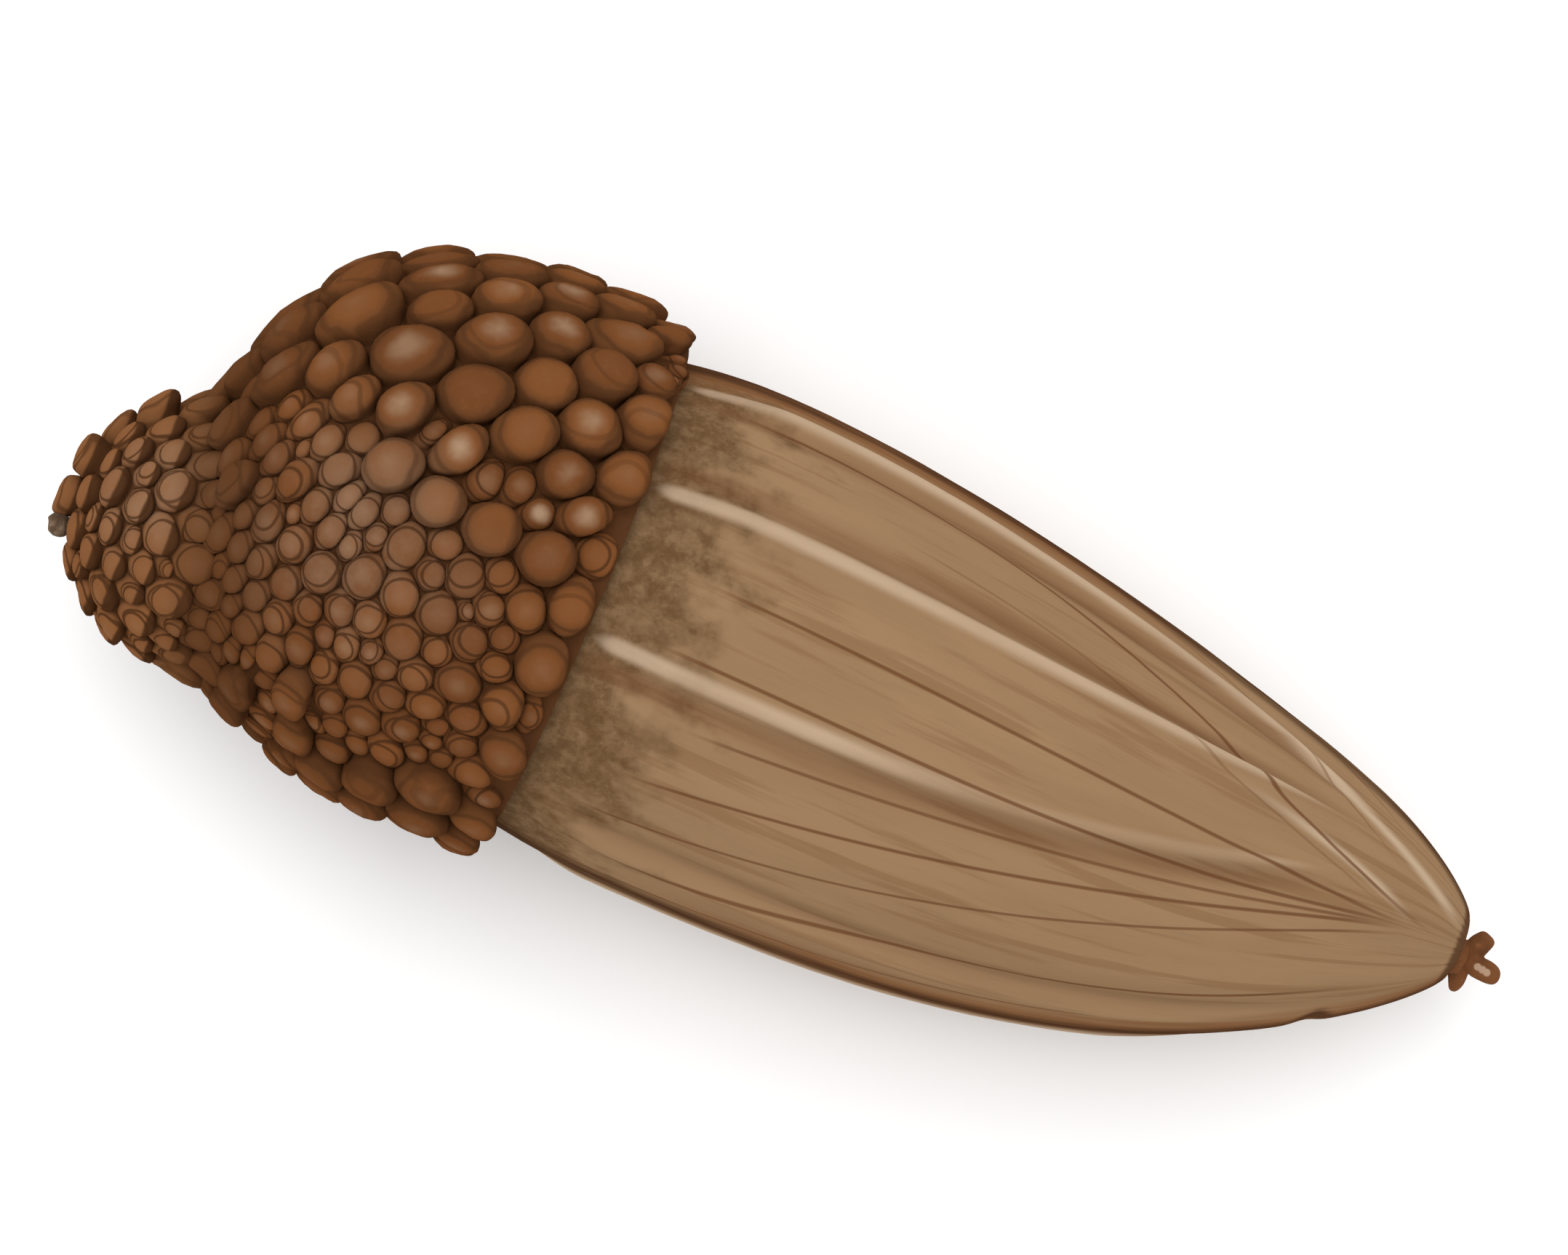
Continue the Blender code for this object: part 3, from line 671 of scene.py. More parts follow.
def nut_material(settings):
    g, shader, material = new_material("nut_skin", 0.0)
    uv = g.node("ShaderNodeUVMap", {"uv_map": "grain_map"})
    parts = g.node("ShaderNodeSeparateXYZ", None, {0: uv})
    angle = parts * 360.0
    x = parts.other("Y") * NUT_END_AT
    girth = g.attribute("girth")
    crest = g.attribute("crest")
    furrow = g.attribute("furrow")
    turn = parts * math.tau
    ring = g.vector(g.math("COSINE", turn), g.math("SINE", turn), 0.0)

    def grain(stretch):
        """Place on the nut for a pattern that runs along the grain, longer the smaller the stretch."""
        along = g.node("ShaderNodeCombineXYZ", None, {"Z": x * stretch})
        return g.vector_math("ADD", ring, along)

    broad = g.noise(grain(0.02), 5.0, 3.0)
    streaks = g.noise(grain(0.006), 14.0, 3.0, 0.55)
    fibres = g.noise(grain(0.006), 55.0, 4.0, 0.6)
    mottle = g.noise(g.own_place(), 1.4, 6.0, 0.75)
    patches = g.noise(grain(0.07), 6.0, 3.0, 0.55)

    colour = g.mix(g.smooth(broad, 0.35, 0.65), settings.skin, SKIN_DARKER)
    colour = g.mix(g.smooth(streaks, 0.52, 0.62) * 0.5, colour, SKIN_STREAK)
    colour = g.mix(g.smooth(fibres, 0.55, 0.7) * 0.22, colour, SKIN_FIBRE)
    rim_shade = 1 - g.smooth(x + (patches - 0.5) * RIM_SHADE_RAGGED, *RIM_SHADE_TO)
    colour = g.mix(rim_shade * g.smooth(mottle, 0.3, 0.65, 0.35, 0.95), colour, RIM_SHADE)
    colour = side_markings(g, colour, turn, x, girth, streaks, fibres)
    end_shade = g.smooth(x + (streaks - 0.5) * 0.3, *END_SHADE_FROM)
    colour = g.mix(end_shade * 0.85, colour, END_SHADE)
    # Painted shade in the furrow beside each ridge
    colour = g.mix(furrow * g.smooth(streaks, 0.3, 0.6, 0.5, 0.9) * 0.6, colour, settings.grain)
    # Painted highlight along the crests of the ridges and the pale lines that carry them on
    fading = 1 - g.smooth(abs(angle - FADING_RIDGE), *FADING_RIDGE_WIDTH)
    pale = g.smooth(crest, 0.3, 0.95) * g.smooth(broad, 0.25, 0.6, 0.5, 0.8)
    pale = pale * (1 - fading * g.smooth(x, *FADING_RIDGE_AT, 0.0, 0.75))
    pale = g.math("MAXIMUM", pale, lines_along(g, PAINTED_HIGHLIGHT_LINES, angle, x, girth, 0.0, 5.0, 2.0))
    colour = g.mix(pale, colour, settings.crest)
    lines = lines_along(g, GRAIN_LINES, angle, x, girth, 0.3, 3.0, 4.0)
    colour = g.mix(lines * 0.9, colour, settings.grain)
    feed(g, shader, Base_Color=colour, Roughness=g.smooth(streaks, 0.3, 0.7, 0.42, 0.6))
    emboss(g, shader, 0.35, 0.08, fibres * 0.4 + streaks * 0.6 - lines * 1.6)
    return material


# Cup
def cup_profile():
    """(x, radius, distance along the skin) from the stalk's foot to the lip, as if the cup did not lean."""
    turn = np.linspace(0, math.pi / 2, BUD_SAMPLES)
    bud_x = BUD_AT - BUD_LENGTH * np.cos(turn) ** (2 / BUD_SQUARENESS)
    bud_r = BUD_RADIUS * np.sin(turn) ** (2 / BUD_SQUARENESS)
    back = (1 - (BUD_RADIUS / CUP_RADIUS) ** CUP_SQUARENESS) ** (1 / CUP_SQUARENESS)
    rise = np.linspace(math.asin(back ** (CUP_SQUARENESS / 2)), 0, BACK_SAMPLES)
    shell_x = CUP_WIDEST_AT - CUP_BACK_LENGTH * np.sin(rise) ** (2 / CUP_SQUARENESS)
    shell_r = CUP_RADIUS * np.cos(rise) ** (2 / CUP_SQUARENESS)
    side = np.linspace(0, 1, SIDE_SAMPLES)[1:]
    side_x = CUP_WIDEST_AT + (LIP_AT - CUP_WIDEST_AT) * side
    side_r = CUP_RADIUS + (LIP_RADIUS - CUP_RADIUS) * side**2
    x = np.concatenate([bud_x, shell_x[1:], side_x])
    r = np.concatenate([bud_r, shell_r[1:], side_r])
    along = np.concatenate([[0], np.cumsum(np.hypot(np.diff(x), np.diff(r)))])
    return x, r, along


def on_the_cup(x, radius, angle):
    """A point of the cup, leaned over as the cup is."""
    share = min(1.0, max(0.0, (LEAN_FROM - x) / (LEAN_FROM - BUD_AT)))
    turn = LEAN_TURN * share**TURN_LATE
    behind = min(0.0, x - BUD_AT)
    middle = Vector((max(x, BUD_AT) + behind * math.cos(LEAN_TURN), -LEAN * share**LEAN_LATE, 0))
    middle.y += behind * math.sin(LEAN_TURN)
    sideways = Vector((-math.sin(turn), math.cos(turn), 0)) * math.cos(angle)
    return middle + radius * (sideways + Vector((0, 0, math.sin(angle))))


def sphere_map(r, along):
    """The angle from the pole of a sphere for each place along the cup's skin, which keeps shapes on it."""
    steps = np.diff(along[POLE_SAMPLES:]) / ((r[POLE_SAMPLES:-1] + r[POLE_SAMPLES + 1 :]) / 2)
    spread = np.concatenate([[0], np.cumsum(steps)])
    polar = 2 * np.arctan(math.tan(LIP_POLAR / 2) * np.exp(spread - spread[-1]))
    return np.concatenate([np.linspace(0, polar[0], POLE_SAMPLES, endpoint=False), polar])


def sphere_point(polar, angle):
    return Vector((math.sin(polar) * math.cos(angle), math.sin(polar) * math.sin(angle), math.cos(polar)))


def row_distances(along, crease):
    """Distance from the stalk's foot of each row of scales, and the kind of scale in it."""
    bud_end = crease - BUD_SCALE["length"] / 2
    shell_start = crease + SHELL_SCALE["length"] / 2
    shell_end = along[-1] - LAST_ROW_TO_LIP
    rows = []
    for scale, first, last in ((BUD_SCALE, FIRST_ROW_AT, bud_end), (SHELL_SCALE, shell_start, shell_end)):
        count = round((last - first) / scale["length"])
        rows += [(first + (last - first) * row / count, scale) for row in range(count + 1)]
    return rows


def hull_of(net):
    """A copy of the net's points, joined to a convex skin."""
    net.verts.index_update()
    hull = net.copy()
    bmesh.ops.convex_hull(hull, input=hull.verts)
    hull.verts.ensure_lookup_table()
    return hull


def takes_small_scales(spot, on_the_skin):
    """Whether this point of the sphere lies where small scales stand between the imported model's."""
    angle = math.atan2(spot.y, spot.x)
    place = on_the_skin(spot)
    border_x, border_y = zip(*SMALL_BORDER)
    if not SMALL_ANGLES[0] < angle < SMALL_ANGLES[1]:
        return False
    on_the_bud = SMALL_BUD_FROM < place.x < SMALL_FROM
    return on_the_bud or SMALL_FROM <= place.x < SMALL_TO and place.y < np.interp(place.x, border_x, border_y)


def add_small_scales(net, on_the_skin):
    """Adds the middle of a small scale in wide gaps between three others, but not in gaps side by side."""
    hull = hull_of(net)
    wide = []
    for gap in hull.faces:
        area = geometry.area_tri(*(on_the_skin(vert.co.normalized()) for vert in gap.verts))
        if area > WIDE_GAP and takes_small_scales(gap.calc_center_median().normalized(), on_the_skin):
            wide.append((area, gap))
    taken = set()
    added = []
    for _, gap in sorted(wide, key=lambda item: -item[0]):
        if not any(other in taken for edge in gap.edges for other in edge.link_faces):
            taken.add(gap)
            added.append(net.verts.new(gap.calc_center_median().normalized()))
    hull.free()
    return added


def even_out(net, chosen):
    """Moves each chosen middle half of the way to the middle of its neighbours."""
    hull = hull_of(net)
    for vert in chosen:
        twin = hull.verts[vert.index]
        around = [edge.other_vert(twin).co for edge in twin.link_edges]
        vert.co = (twin.co + sum(around, Vector()) / len(around)).normalized()
    hull.free()


def scale_net():
    """The cup's skin as a net with one face for each scale, from the stalk's foot to the lip."""
    x, r, along = cup_profile()
    polar = sphere_map(r, along)
    crease = BUD_RADIUS * math.pi / 2
    draw = random.Random(SCALE_SEED)
    bm = bmesh.new()
    middles = [bm.verts.new((0, 0, 1))]
    for number, (distance, scale) in enumerate(row_distances(along, crease)):
        ring = np.interp(distance, along, r)
        count = round(math.tau * ring / scale["width"])
        for place in range(count):
            step = math.tau / count
            angle = step * (place + 0.5 * (number % 2) + draw.uniform(-1, 1) * SCALE_SCATTER)
            angle += LARGE_SCALES * math.sin(angle - LARGE_SCALES_AT)
            moved = distance + draw.uniform(-1, 1) * SCALE_SCATTER * scale["length"]
            middles.append(bm.verts.new(sphere_point(np.interp(moved, along, polar), angle)))
    lip = [bm.verts.new(sphere_point(polar[-1], math.tau * k / LIP_POINTS)) for k in range(LIP_POINTS)]

    def on_the_skin(spot):
        """The point of the cup's skin for a point of the sphere."""
        distance = np.interp(math.acos(max(-1.0, min(1.0, spot.z))), polar, along)
        at, radius = float(np.interp(distance, along, x)), float(np.interp(distance, along, r))
        return on_the_cup(at, radius, math.atan2(spot.y, spot.x))

    for _ in range(FILLING_ROUNDS):
        middles += add_small_scales(bm, on_the_skin)
        small = [vert for vert in middles if takes_small_scales(vert.co, on_the_skin)]
        for _ in range(EVENING_ROUNDS):
            even_out(bm, small)
    bmesh.ops.convex_hull(bm, input=bm.verts)
    across = [face for face in bm.faces if all(vert in lip for vert in face.verts)]
    bmesh.ops.delete(bm, geom=across, context="FACES_ONLY")
    hull_edges = [edge for edge in bm.edges if len(edge.link_faces) == 2]
    bmesh.ops.poke(bm, faces=bm.faces)
    for edge in hull_edges:
        bmesh.utils.edge_rotate(edge)
    bmesh.ops.dissolve_verts(bm, verts=middles)
    bmesh.ops.delete(bm, geom=[e for e in bm.edges if not e.link_faces], context="EDGES")
    for vert in bm.verts:
        vert.co = on_the_skin(vert.co.normalized())
    bmesh.ops.reverse_faces(bm, faces=bm.faces)
    return bm


def line_cavity(bm):
    """Turns the lip in and lines the bowl, a small gap away from the nut's base."""
    ring = [edge for edge in bm.edges if edge.is_boundary]
    depth = NUT_WIDEST_AT - NUT_BASE_AT + CAVITY_GAP
    start = math.acos((NUT_WIDEST_AT - LIP_AT) / depth)
    for number in range(CAVITY_RINGS):
        extruded = bmesh.ops.extrude_edge_only(bm, edges=ring)["geom"]
        ring = [item for item in extruded if isinstance(item, bmesh.types.BMEdge)]
        turn = start * (1 - CAVITY_REACH * number / (CAVITY_RINGS - 1))
        x = NUT_WIDEST_AT - depth * math.cos(turn)
        radius = (NUT_RADIUS + CAVITY_GAP) * math.sin(turn)
        for vert in {vert for edge in ring for vert in edge.verts}:
            angle = math.atan2(vert.co.z, vert.co.y)
            vert.co = (x, radius * math.cos(angle), radius * math.sin(angle))
    bmesh.ops.contextual_create(bm, geom=ring)


def make_cup_net():
    """The net with, on each scale's face, how far it rises and leans, its own tone and how strong its painted
    highlight is.
    """
    bm = scale_net()
    layers = bm.faces.layers
    lift_of, crown_of = layers.float_vector.new("lift"), layers.float_vector.new("crown")
    inset_of, tone_of = layers.float.new("inset"), layers.float.new("tone")
    middle_of, reach_of = layers.float_vector.new("middle"), layers.float.new("reach")
    shingle_of, painted_highlight_of = layers.float.new("shingle"), layers.float.new("painted_highlight")
    draw = random.Random(SCALE_SEED + 1)
    tones = random.Random(SCALE_SEED + 2)
    cells = [face for face in bm.faces if face.calc_area() > SMALLEST_SCALE]
    bud_pole = on_the_cup(BUD_AT - BUD_LENGTH, 0, 0)
    cells = [cell for cell in cells if (cell.calc_center_median() - bud_pole).length > STALK_CLEAR]
    bm.normal_update()
    scales = set(cells)
    for vert in [vert for vert in bm.verts if scales.issuperset(vert.link_faces)]:
        vert.co -= vert.normal * PIT_DEPTH
    rimwards = Vector((1, 0, 0))
    for cell in cells:
        middle = cell.calc_center_median()
        past_crease = (middle - CREASE_MIDDLE).dot(BUD_AXIS)
        aside = (middle - CREASE_MIDDLE - BUD_AXIS * past_crease).length
        scale = BUD_SCALE if past_crease < 0 and aside < BUD_REACH else SHELL_SCALE
        reach = math.sqrt(cell.calc_area() / math.pi)
        from_crease = math.hypot(past_crease, aside - BUD_RADIUS)
        size = 1 + draw.uniform(-1, 1) * SCALE_HEIGHT_SPREAD
        size *= CREASE_HEIGHT + (1 - CREASE_HEIGHT) * smoothstep(from_crease / CREASE_CLEAR)
        lip_gap = LIP_AT - max(vert.co.x for vert in cell.verts)
        in_last_row = lip_gap < LAST_ROW_GAP
        push = (rimwards - rimwards.project(cell.normal)) * (0.0 if in_last_row else scale["push"])
        drawn_out = min(lip_gap + PAST_LIP, MOST_DRAWN_OUT) if in_last_row else 0.0
        size *= min(1.0, reach / FULL_REACH[scale is BUD_SCALE])
        size *= LARGE_HEIGHT if reach > CROWNED_REACH and not in_last_row else 1.0
        cell[lift_of] = cell.normal * scale["height"] * size + push + rimwards * drawn_out
        cell[crown_of] = cell.normal * scale["crown"] * size + push
        cell[inset_of] = WIDENED if reach > CROWNED_REACH else SMALL_WIDENED
        cell[shingle_of] = 0.0 if in_last_row else SHINGLED[scale is BUD_SCALE]
        # A weak painted highlight at random on every scale; the listed ones get a strong one below
        cell[painted_highlight_of] = tones.random() * LEAST_HIGHLIGHT
        cell[middle_of] = middle + cell[lift_of] + cell[crown_of] * 0.5
        cell[reach_of] = reach
        cell[tone_of] = tones.random()
    upper = [cell for cell in cells if cell[middle_of].z > 0]
    for x, y, strength in HIGHLIGHTS:
        nearest = min(upper, key=lambda cell: math.hypot(cell[middle_of].x - x, cell[middle_of].y - y))
        nearest[painted_highlight_of] = strength
    line_cavity(bm)
    return bm


def scale_nodes():
    """Node tree that raises each scale of the net to a rounded wart and roughens it."""
    tree = bpy.data.node_groups.new("raise_scales", "GeometryNodeTree")
    sockets = (
        ("Net", "INPUT", "NodeSocketGeometry", None),
        ("Height", "INPUT", "NodeSocketFloat", 1.0),
        ("Smoothing", "INPUT", "NodeSocketInt", 2),
        ("Roughening", "INPUT", "NodeSocketFloat", 0.07),
        ("Dome", "INPUT", "NodeSocketFloat", 0.15),
        ("Tip", "INPUT", "NodeSocketFloat", 0.25),
        ("Seed", "INPUT", "NodeSocketInt", 3),
        ("Finish", "INPUT", "NodeSocketMaterial", None),
        ("Cup", "OUTPUT", "NodeSocketGeometry", None),
    )
    for name, way, kind, default in sockets:
        socket = tree.interface.new_socket(name, in_out=way, socket_type=kind)
        if default is not None:
            socket.default_value = default
    g = Graph(tree)
    start = g.node("NodeGroupInput", None, None, "Net")
    height = start.other("Height")

    def named(name, kind="FLOAT"):
        """What the net carries under this name."""
        return g.node("GeometryNodeInputNamedAttribute", {"data_type": kind}, {"Name": name})

    def compare(value, operation, level):
        return g.node("FunctionNodeCompare", {"operation": operation}, {0: value, 1: level})

    def times(vector, scale):
        return g.node("ShaderNodeVectorMath", {"operation": "SCALE"}, {0: vector, "Scale": scale})

    def store(mesh, name, value, chosen=True):
        return g.node(
            "GeometryNodeStoreNamedAttribute", {"data_type": "FLOAT", "domain": "POINT"},
            {"Geometry": mesh, "Selection": chosen, "Name": name, "Value": value},
        )

    def raised(mesh, chosen, offset, size, rise):
        """One more storey on each scale: its faces moved out by the offset, and shrunk to the size."""
        upper = g.node(
            "GeometryNodeExtrudeMesh", None,
            {"Mesh": mesh, "Selection": chosen, "Offset": offset, "Offset Scale": 1.0, "Individual": True},
        )
        top = upper.other("Top")
        shrunk = g.node(
            "GeometryNodeScaleElements", None, {"Geometry": upper, "Selection": top, "Scale": size}
        )
        return store(shrunk, "rise", rise, top), top

    inset, reach = named("inset"), named("reach")
    is_scale = compare(inset, "GREATER_THAN", 0.01)
    lift, crown = times(named("lift", "FLOAT_VECTOR"), height), times(named("crown", "FLOAT_VECTOR"), height)
    wall, shoulder = raised(start, is_scale, lift, inset, SHOULDER_RISE)
    is_large = compare(reach, "GREATER_THAN", CROWNED_REACH)
    crowned = g.node("FunctionNodeBooleanMath", {"operation": "AND"}, {0: shoulder, 1: is_large})
    raised_twice = raised(wall, crowned, crown, CROWN_SIZE, 1.0)[0]
    rise = named("rise")
    border = compare(rise, "LESS_THAN", 0.02)
    rounded = g.node(
        "GeometryNodeSubdivisionSurface", None,
        {"Mesh": raised_twice, "Level": start.other("Smoothing"), "Edge Crease": border},
    )
    position = g.node("GeometryNodeInputPosition")
    coarse = g.node(
        "ShaderNodeTexNoise", {"noise_dimensions": "4D"},
        {"Vector": position, "W": start.other("Seed"), "Scale": ROUGHENING_SCALE, "Detail": 3.0},
    )
    from_middle = g.vector_math("SUBTRACT", position, named("middle", "FLOAT_VECTOR"))
    least_reach = g.math("MAXIMUM", reach, LEAST_REACH)
    core = g.vector_math("LENGTH", from_middle, output="Value") / least_reach
    domed = g.math("MAXIMUM", 1 - core * core, 0.0) * start.other("Dome")
    rimwards = g.node("ShaderNodeSeparateXYZ", None, {0: from_middle}) / least_reach
    tipped = g.math("MAXIMUM", g.math("MINIMUM", rimwards, MOST_TIPPED), -MOST_TIPPED)
    tipped = tipped * named("shingle") * start.other("Tip")
    rough = (coarse - 0.5) * start.other("Roughening") * ROUGHENING_SPREAD
    bumps = times(g.node("GeometryNodeInputNormal"), (rough + domed + tipped) * rise)
    marked = store(rounded, "core", core)
    uneven = g.node("GeometryNodeSetPosition", None, {"Geometry": marked, "Offset": bumps})
    shaded = g.node("GeometryNodeSetShadeSmooth", None, {"Geometry": uneven, "Shade Smooth": True})
    plain = g.node("GeometryNodeRealizeInstances", None, {"Geometry": shaded})
    finish = start.other("Finish")
    finished = g.node("GeometryNodeSetMaterial", None, {"Geometry": plain, "Material": finish})
    end = tree.nodes.new("NodeGroupOutput")
    tree.links.new(finished.socket, end.inputs["Cup"])
    return tree


def scale_strokes(g, own, tone, reach, from_middle):
    """1 on a curved stroke across a scale, which lies another way on each and is missing on some."""
    stray = g.noise(g.shifted(own, (50, 20, 70)), 0.52, 1.0)
    turn = tone * STROKE_TURNS
    aside = [g.math(way, turn) * reach * STROKE_ASIDE for way in ("COSINE", "SINE")]
    off_middle = g.vector_math("DISTANCE", from_middle, g.vector(*aside, 0.0), output="Value")
    stroke = 1 - g.smooth(abs(off_middle / reach + (stray - 0.5) * 0.8 - STROKE_AT), *LOOP_WIDTH)
    return stroke * g.smooth(g.math("FRACT", tone * STROKE_DRAW), STROKES_MISSING, STROKES_MISSING + 0.05)


def cup_material(settings):
    g, shader, material = new_material("cup_scale", 0.0)
    own = g.own_place()
    rise = g.attribute("rise")
    core = g.attribute("core")
    tone = g.attribute("tone")
    reach = g.attribute("reach")
    small = 1 - g.smooth(reach, *LARGE_REACH)
    reach = g.math("MAXIMUM", reach, LEAST_REACH)
    fine = g.noise(own, 2.5, 5.0, 0.65)
    wander = g.noise(own, 0.7, 2.0)
    sway = wander - 0.5
    broad = g.noise(own, 0.16, 3.0)
    middle = g.node("ShaderNodeAttribute", {"attribute_name": "middle"}, None, "Vector")
    from_middle = g.vector_math("SUBTRACT", own, middle)
    past_crease = g.vector_math("DOT_PRODUCT", own, BUD_AXIS, output="Value") - CREASE_MIDDLE.dot(BUD_AXIS)
    on_the_bud = 1 - g.smooth(past_crease, -1.0, 0.5)

    colour = g.mix(g.smooth(tone, 0.1, 0.9), settings.scale, SCALE_DARKER)
    colour = g.mix(g.smooth(fine, 0.5, 0.75) * 0.3, colour, SCALE_WARMER)
    colour = g.mix(g.smooth(broad, 0.5, 0.7) * 0.3, colour, SCALE_DULLER)
    # Painted shade: each scale darker towards its edge, most on the large ones
    border = g.smooth(core + sway * 0.4, 0.55, 0.95)
    colour = g.mix(border * (0.7 - small * 0.4), colour, SCALE_EDGE_SHADE)
    # Painted highlight: a pale middle on the listed scales, and a weaker one at random on the others
    pale = (1 - g.smooth(core + sway * 0.6, 0.1, 0.65)) * g.attribute("painted_highlight")
    colour = g.mix(pale * 0.85, colour, SCALE_PAINTED_HIGHLIGHT)
    colour = g.mix(on_the_bud * 0.55, colour, BUD_SCALE_TOP)
    # Painted highlight: a soft pale haze over the middle of the cup and of the bud
    painted_haze = g.math("MAXIMUM", *(g.blob(own, centre, radius) for centre, radius in PAINTED_HAZE_PLACES))
    painted_haze = painted_haze * g.smooth(g.noise(own, 0.35, 4.0, 0.6), 0.3, 0.65)
    colour = g.mix(painted_haze * 0.5, colour, settings.painted_haze_colour)
    rimwards = g.node("ShaderNodeSeparateXYZ", None, {0: from_middle}) / reach
    # Painted shadow: a dark crescent along the rimward edge of each scale, darkest on the bud
    crescent_shadow = g.smooth(rimwards + on_the_bud * 0.25 + sway * 0.3, 0.52, 0.7)
    colour = g.mix(crescent_shadow * (0.25 + on_the_bud * 0.65), colour, CRESCENT_SHADOW)
    loop = 1 - g.smooth(abs(core + sway * 0.4 - LOOP_AT), *LOOP_WIDTH)
    stroke = scale_strokes(g, own, tone, reach, from_middle)
    marks = g.math("MAXIMUM", loop * (0.4 + small * 0.4), stroke * (0.3 + small * 0.5))
    colour = g.mix(marks, colour, FINE_LOOP)
    # Painted shade low between the scales
    crevice_shade = 1 - g.smooth(rise + sway * 0.2, 0.03, 0.3)
    colour = g.mix(crevice_shade * 0.92, colour, settings.crevice_shade)
    # Painted shade in the crease between the bud and the shell
    neck = 1 - g.smooth(abs(past_crease - NECK_SHADE_AT), *NECK_SHADE_WIDTH)
    colour = g.mix(neck * 0.58, colour, settings.crevice_shade)
    feed(g, shader, Base_Color=colour, Roughness=g.smooth(fine, 0.3, 0.7, 0.65, 0.85))
    emboss(g, shader, 0.4, 0.07, fine + wander - stroke)
    return material


# Stalk and style
def lay_grid(rings, columns, place):
    """A closed skin of rings from a pole to a pole. place(ring share, turn) gives each point."""
    bm = bmesh.new()
    rows = []
    for ring in range(1, rings):
        rows.append([bm.verts.new(place(ring / rings, math.tau * k / columns)) for k in range(columns)])
    first, last = bm.verts.new(place(0.0, 0.0)), bm.verts.new(place(1.0, 0.0))
    for k in range(columns):
        after = (k + 1) % columns
        bm.faces.new((first, rows[0][k], rows[0][after]))
        bm.faces.new((last, rows[-1][after], rows[-1][k]))
        for upper, lower in zip(rows, rows[1:]):
            bm.faces.new((upper[k], lower[k], lower[after], upper[after]))
    bmesh.ops.recalc_face_normals(bm, faces=bm.faces)
    return bm


LUMP_FIELDS = (Vector((3.1, 47.2, 11.9)), Vector((71.3, 5.8, 29.4)), Vector((18.6, 33.7, 90.5)))


def lumpy(point, scale, amount):
    """The point moved a little by a smooth field, which is the same every time."""
    return point + amount * Vector([noise.noise(point * scale + shift) for shift in LUMP_FIELDS])


STALK_OUTLINE = (
    (0.0, -0.7), (0.36, -0.7), (0.37, -0.2), (0.33, 0.1), (0.29, 0.25), (0.32, 0.36), (0.42, 0.48),
    (0.47, 0.62), (0.48, 0.76), (0.42, 0.92), (0.3, 1.05), (0.22, 1.1), (0.12, 1.06), (0.0, 1.02),
)


def make_stalk_mesh():
    """The stub: a ribbed neck that swells to a broken, hollowed end."""
    foot = on_the_cup(BUD_AT - BUD_LENGTH, 0, 0)
    turned = (-BUD_AXIS).to_track_quat("Z", "Y").to_matrix()
    places = np.linspace(0, 1, len(STALK_OUTLINE))
    radii, heights = (np.array(values) for values in zip(*STALK_OUTLINE))

    def place(share, turn):
        radius, height = float(np.interp(share, places, radii)), float(np.interp(share, places, heights))
        radius *= 1 + STALK_RIB_HEIGHT * math.sin(STALK_RIBS * turn + 3 * height)
        point = Vector((radius * math.cos(turn), radius * math.sin(turn), height))
        return foot + turned @ lumpy(point, 3.0, 0.05)

    return lay_grid(60, 48, place)


def make_style_column():
    def place(share, turn):
        height = STYLE_COLUMN - (STYLE_ROOT + STYLE_COLUMN) * share
        rounding = min(1.0, STYLE_ROUNDING * share, STYLE_ROUNDING * (1 - share)) ** 0.5
        radius = STYLE_RADIUS * (1.02 - STYLE_WAIST * math.cos(math.pi * share)) * rounding
        radius *= 1 + STYLE_RIB_HEIGHT * math.sin(STYLE_RIBS * turn + 1)
        point = Vector((NUT_END_AT + height, radius * math.cos(turn), radius * math.sin(turn)))
        return lumpy(point, 2.5, 0.05)

    return lay_grid(18, 32, place)


def make_style_lobe(angle, lean, length, thickness):
    """A lobe that is thickest near its end and a little flat."""
    start = Vector((NUT_END_AT + STYLE_COLUMN * LOBES_AT, 0, 0))
    out = Vector((0, math.cos(math.radians(angle)), math.sin(math.radians(angle))))
    towards = Vector((1, 0, 0)) * math.cos(math.radians(lean)) + out * math.sin(math.radians(lean))
    turned = towards.to_track_quat("Z", "Y").to_matrix()

    def place(share, turn):
        height = length * (LOBE_AHEAD - 0.5 * math.cos(math.pi * share))
        radius = thickness / 2 * math.sin(math.pi * share) ** 0.8 * (1 + 0.12 * math.cos(2 * turn))
        radius *= 0.72 + 0.5 * share
        point = Vector((radius * math.cos(turn), radius * math.sin(turn) * LOBE_FLATNESS, height))
        return lumpy(start + turned @ point, 1.8, 0.09)

    return lay_grid(22, 24, place)


def make_style_mesh():
    """The dried style: a short column and three stigma lobes, as one skin with softened creases."""
    mesh = bpy.data.meshes.new("shapes")
    together = bmesh.new()
    for shape in (make_style_column(), *(make_style_lobe(*lobe) for lobe in STYLE_LOBES)):
        shape.to_mesh(mesh)
        shape.free()
        together.from_mesh(mesh)
    together.to_mesh(mesh)
    together.free()
    blank = put_in_scene("shapes", mesh)
    skin = blank.modifiers.new("one_skin", "REMESH")
    skin.mode = "VOXEL"
    skin.voxel_size = STYLE_FINENESS
    soft = blank.modifiers.new("soft", "SMOOTH")
    soft.iterations = SOFTENING
    return baked(blank)[0]


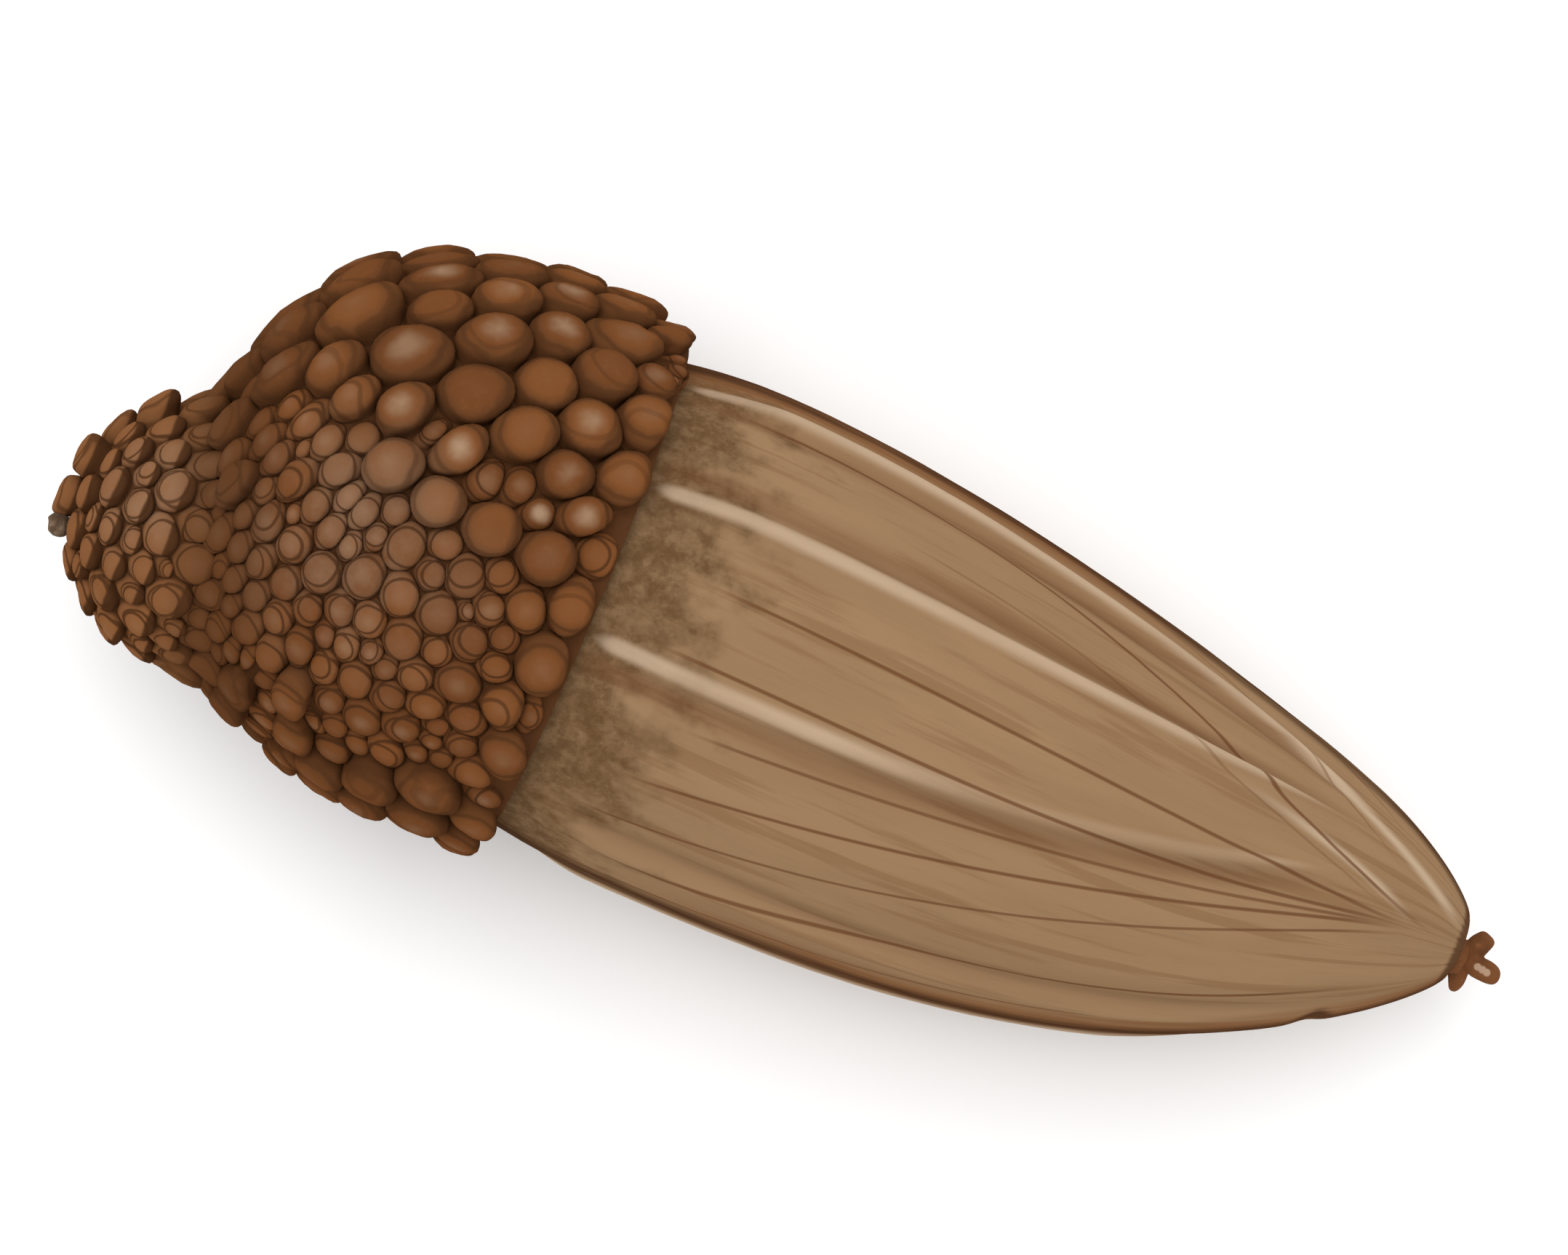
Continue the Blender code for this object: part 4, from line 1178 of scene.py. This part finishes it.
def woody_material(name, colour, dark, pale, scale, highlight_patch=()):
    """A dry, rough skin: darker in its hollows, with pale specks, and a pale patch of painted highlight if it
    has one.
    """
    g, shader, material = new_material(name)
    position = g.node("ShaderNodeTexCoord", None, None, "Object")
    lumps = g.noise(position, scale, 4.0, 0.6)
    specks = g.noise(position, scale * 4, 3.0, 0.6)
    shade = g.mix(g.smooth(lumps, 0.35, 0.6), dark, colour)
    shade = g.mix(g.smooth(specks, 0.55, 0.7) * 0.6, shade, pale)
    # Painted highlight: a pale patch along one of the style's lobes
    if highlight_patch:
        own = g.own_place()
        near = g.blob(own, highlight_patch[0], HIGHLIGHT_RADIUS)
        for place in highlight_patch[1:]:
            near = g.math("MAXIMUM", near, g.blob(own, place, HIGHLIGHT_RADIUS))
        patch = g.smooth(near + (lumps - 0.5) * 0.4, 0.3, 0.6)
        shade = g.mix(patch * 0.9, shade, HIGHLIGHT_COLOUR)
    feed(g, shader, Base_Color=shade, Roughness=g.smooth(specks, 0.3, 0.7, 0.6, 0.85))
    emboss(g, shader, 0.4, 0.05, lumps + specks)
    return material


# Steps that build the acorn
class ACORN_OT_nut(bpy.types.Operator):
    """Build the nut with its ridges, furrows and grain"""

    bl_idname = "acorn.nut"
    bl_label = "Nut"

    def execute(self, context):
        settings = context.scene.acorn_nut
        piece = add_piece("nut_skin", make_nut_mesh(settings), nut_material(settings))
        stand_for(piece, "nut")
        return {"FINISHED"}


class ACORN_OT_cup(bpy.types.Operator):
    """Build the cup and raise its scales"""

    bl_idname = "acorn.cup"
    bl_label = "Cup"

    def execute(self, context):
        settings = context.scene.acorn_cup
        net = put_in_scene("cup_net", mesh_of("cup_net", make_cup_net()))
        tree = scale_nodes()
        modifier = net.modifiers.new("scales", "NODES")
        modifier.node_group = tree
        values = {
            "Height": settings.height,
            "Smoothing": settings.smoothing,
            "Roughening": settings.roughening,
            "Dome": settings.dome,
            "Tip": settings.tip,
            "Seed": SCALE_SEED,
            "Finish": cup_material(settings),
        }
        for item in tree.interface.items_tree:
            if item.name in values:
                modifier[item.identifier] = values[item.name]
        bm, made = baked(net)
        piece = add_piece("cup_scales", bm, made.materials[0])
        stand_for(piece, "cup")
        return {"FINISHED"}


class ACORN_OT_ends(bpy.types.Operator):
    """Build the stub of the stalk and the dried style"""

    bl_idname = "acorn.ends"
    bl_label = "Stalk and style"

    def execute(self, context):
        settings = context.scene.acorn_ends
        bark = woody_material("stalk_bark", settings.bark, BARK_HOLLOWS, BARK_SPECKS, BARK_GRAIN)
        brown = woody_material(
            "style_brown", settings.style, STYLE_HOLLOWS, STYLE_SPECKS, STYLE_GRAIN, STYLE_HIGHLIGHT
        )
        stand_for(add_piece("stalk_stub", make_stalk_mesh(), bark), "stalk")
        stand_for(add_piece("style_lobes", make_style_mesh(), brown), "style")
        return {"FINISHED"}


# Image centre in the acorn's level, and how wide the view is there, in millimetres
VIEW_CENTRE = Vector((-1.542, 1.64, 10.5))
VIEW_WIDTH = 59.889
SENSOR_WIDTH = 36.0

# Stage, in metres
FLOOR_SIZE = 1.5
FLOOR_ROUGHNESS = 0.9
WINDOW_AT = Vector((-0.08, 0.12, 0.48))
WINDOW_SIZE = 0.35


class ACORN_OT_stage(bpy.types.Operator):
    """Set the floor, the soft light and the camera"""

    bl_idname = "acorn.stage"
    bl_label = "Stage"

    def execute(self, context):
        settings = context.scene.acorn_stage
        bm = bmesh.new()
        bmesh.ops.create_grid(bm, x_segments=2, y_segments=2, size=FLOOR_SIZE)
        floor = put_in_scene("floor", mesh_of("floor", bm))
        _, shader, material = new_material("floor")
        shader.inputs["Base Color"].default_value = settings.floor
        shader.inputs["Roughness"].default_value = FLOOR_ROUGHNESS
        floor.data.materials.append(material)

        world = bpy.data.worlds.new("soft_room")
        world.use_nodes = True
        background = world.node_tree.nodes["Background"]
        background.inputs["Color"].default_value = (1, 1, 1, 1)
        background.inputs["Strength"].default_value = settings.room
        context.scene.world = world

        lamp = bpy.data.lights.new("window", "AREA")
        lamp.size = WINDOW_SIZE
        lamp.energy = settings.window
        window = put_in_scene("window", lamp)
        window.location = WINDOW_AT
        window.rotation_euler = (-WINDOW_AT).to_track_quat("-Z", "Y").to_euler()

        lens = bpy.data.cameras.new("camera")
        lens.lens = settings.lens
        lens.sensor_width = SENSOR_WIDTH
        lens.clip_start = 0.01
        camera = put_in_scene("camera", lens)
        height = settings.lens / SENSOR_WIDTH * VIEW_WIDTH
        camera.location = (VIEW_CENTRE + Vector((0, 0, height))) * MM
        camera.rotation_euler = (0, 0, settings.turn)
        context.scene.camera = camera
        context.scene.view_settings.view_transform = "Standard"
        return {"FINISHED"}


class ACORN_PT_panel(bpy.types.Panel):
    """Sizes and colours of the acorn, and the buttons that build it"""

    bl_idname = "ACORN_PT_panel"
    bl_label = "Acorn"
    bl_space_type = "VIEW_3D"
    bl_region_type = "UI"
    bl_category = "Acorn"

    def draw(self, context):
        for group, _, operator in STEPS:
            box = self.layout.box()
            settings = getattr(context.scene, group)
            for name in settings.__annotations__:
                box.prop(settings, name)
            box.operator(operator.bl_idname)


STEPS = (
    ("acorn_nut", NutSettings, ACORN_OT_nut),
    ("acorn_cup", CupSettings, ACORN_OT_cup),
    ("acorn_ends", EndSettings, ACORN_OT_ends),
    ("acorn_stage", StageSettings, ACORN_OT_stage),
)
CLASSES = (*(step[1] for step in STEPS), *(step[2] for step in STEPS), ACORN_PT_panel)


def register():
    for cls in CLASSES:
        bpy.utils.register_class(cls)
    for name, group, _ in STEPS:
        setattr(bpy.types.Scene, name, PointerProperty(type=group))


def unregister():
    for name, _, _ in STEPS:
        delattr(bpy.types.Scene, name)
    for cls in reversed(CLASSES):
        bpy.utils.unregister_class(cls)


def main():
    register()
    bpy.ops.acorn.stage()
    bpy.ops.acorn.nut()
    bpy.ops.acorn.cup()
    bpy.ops.acorn.ends()


if __name__ == "__main__":
    main()
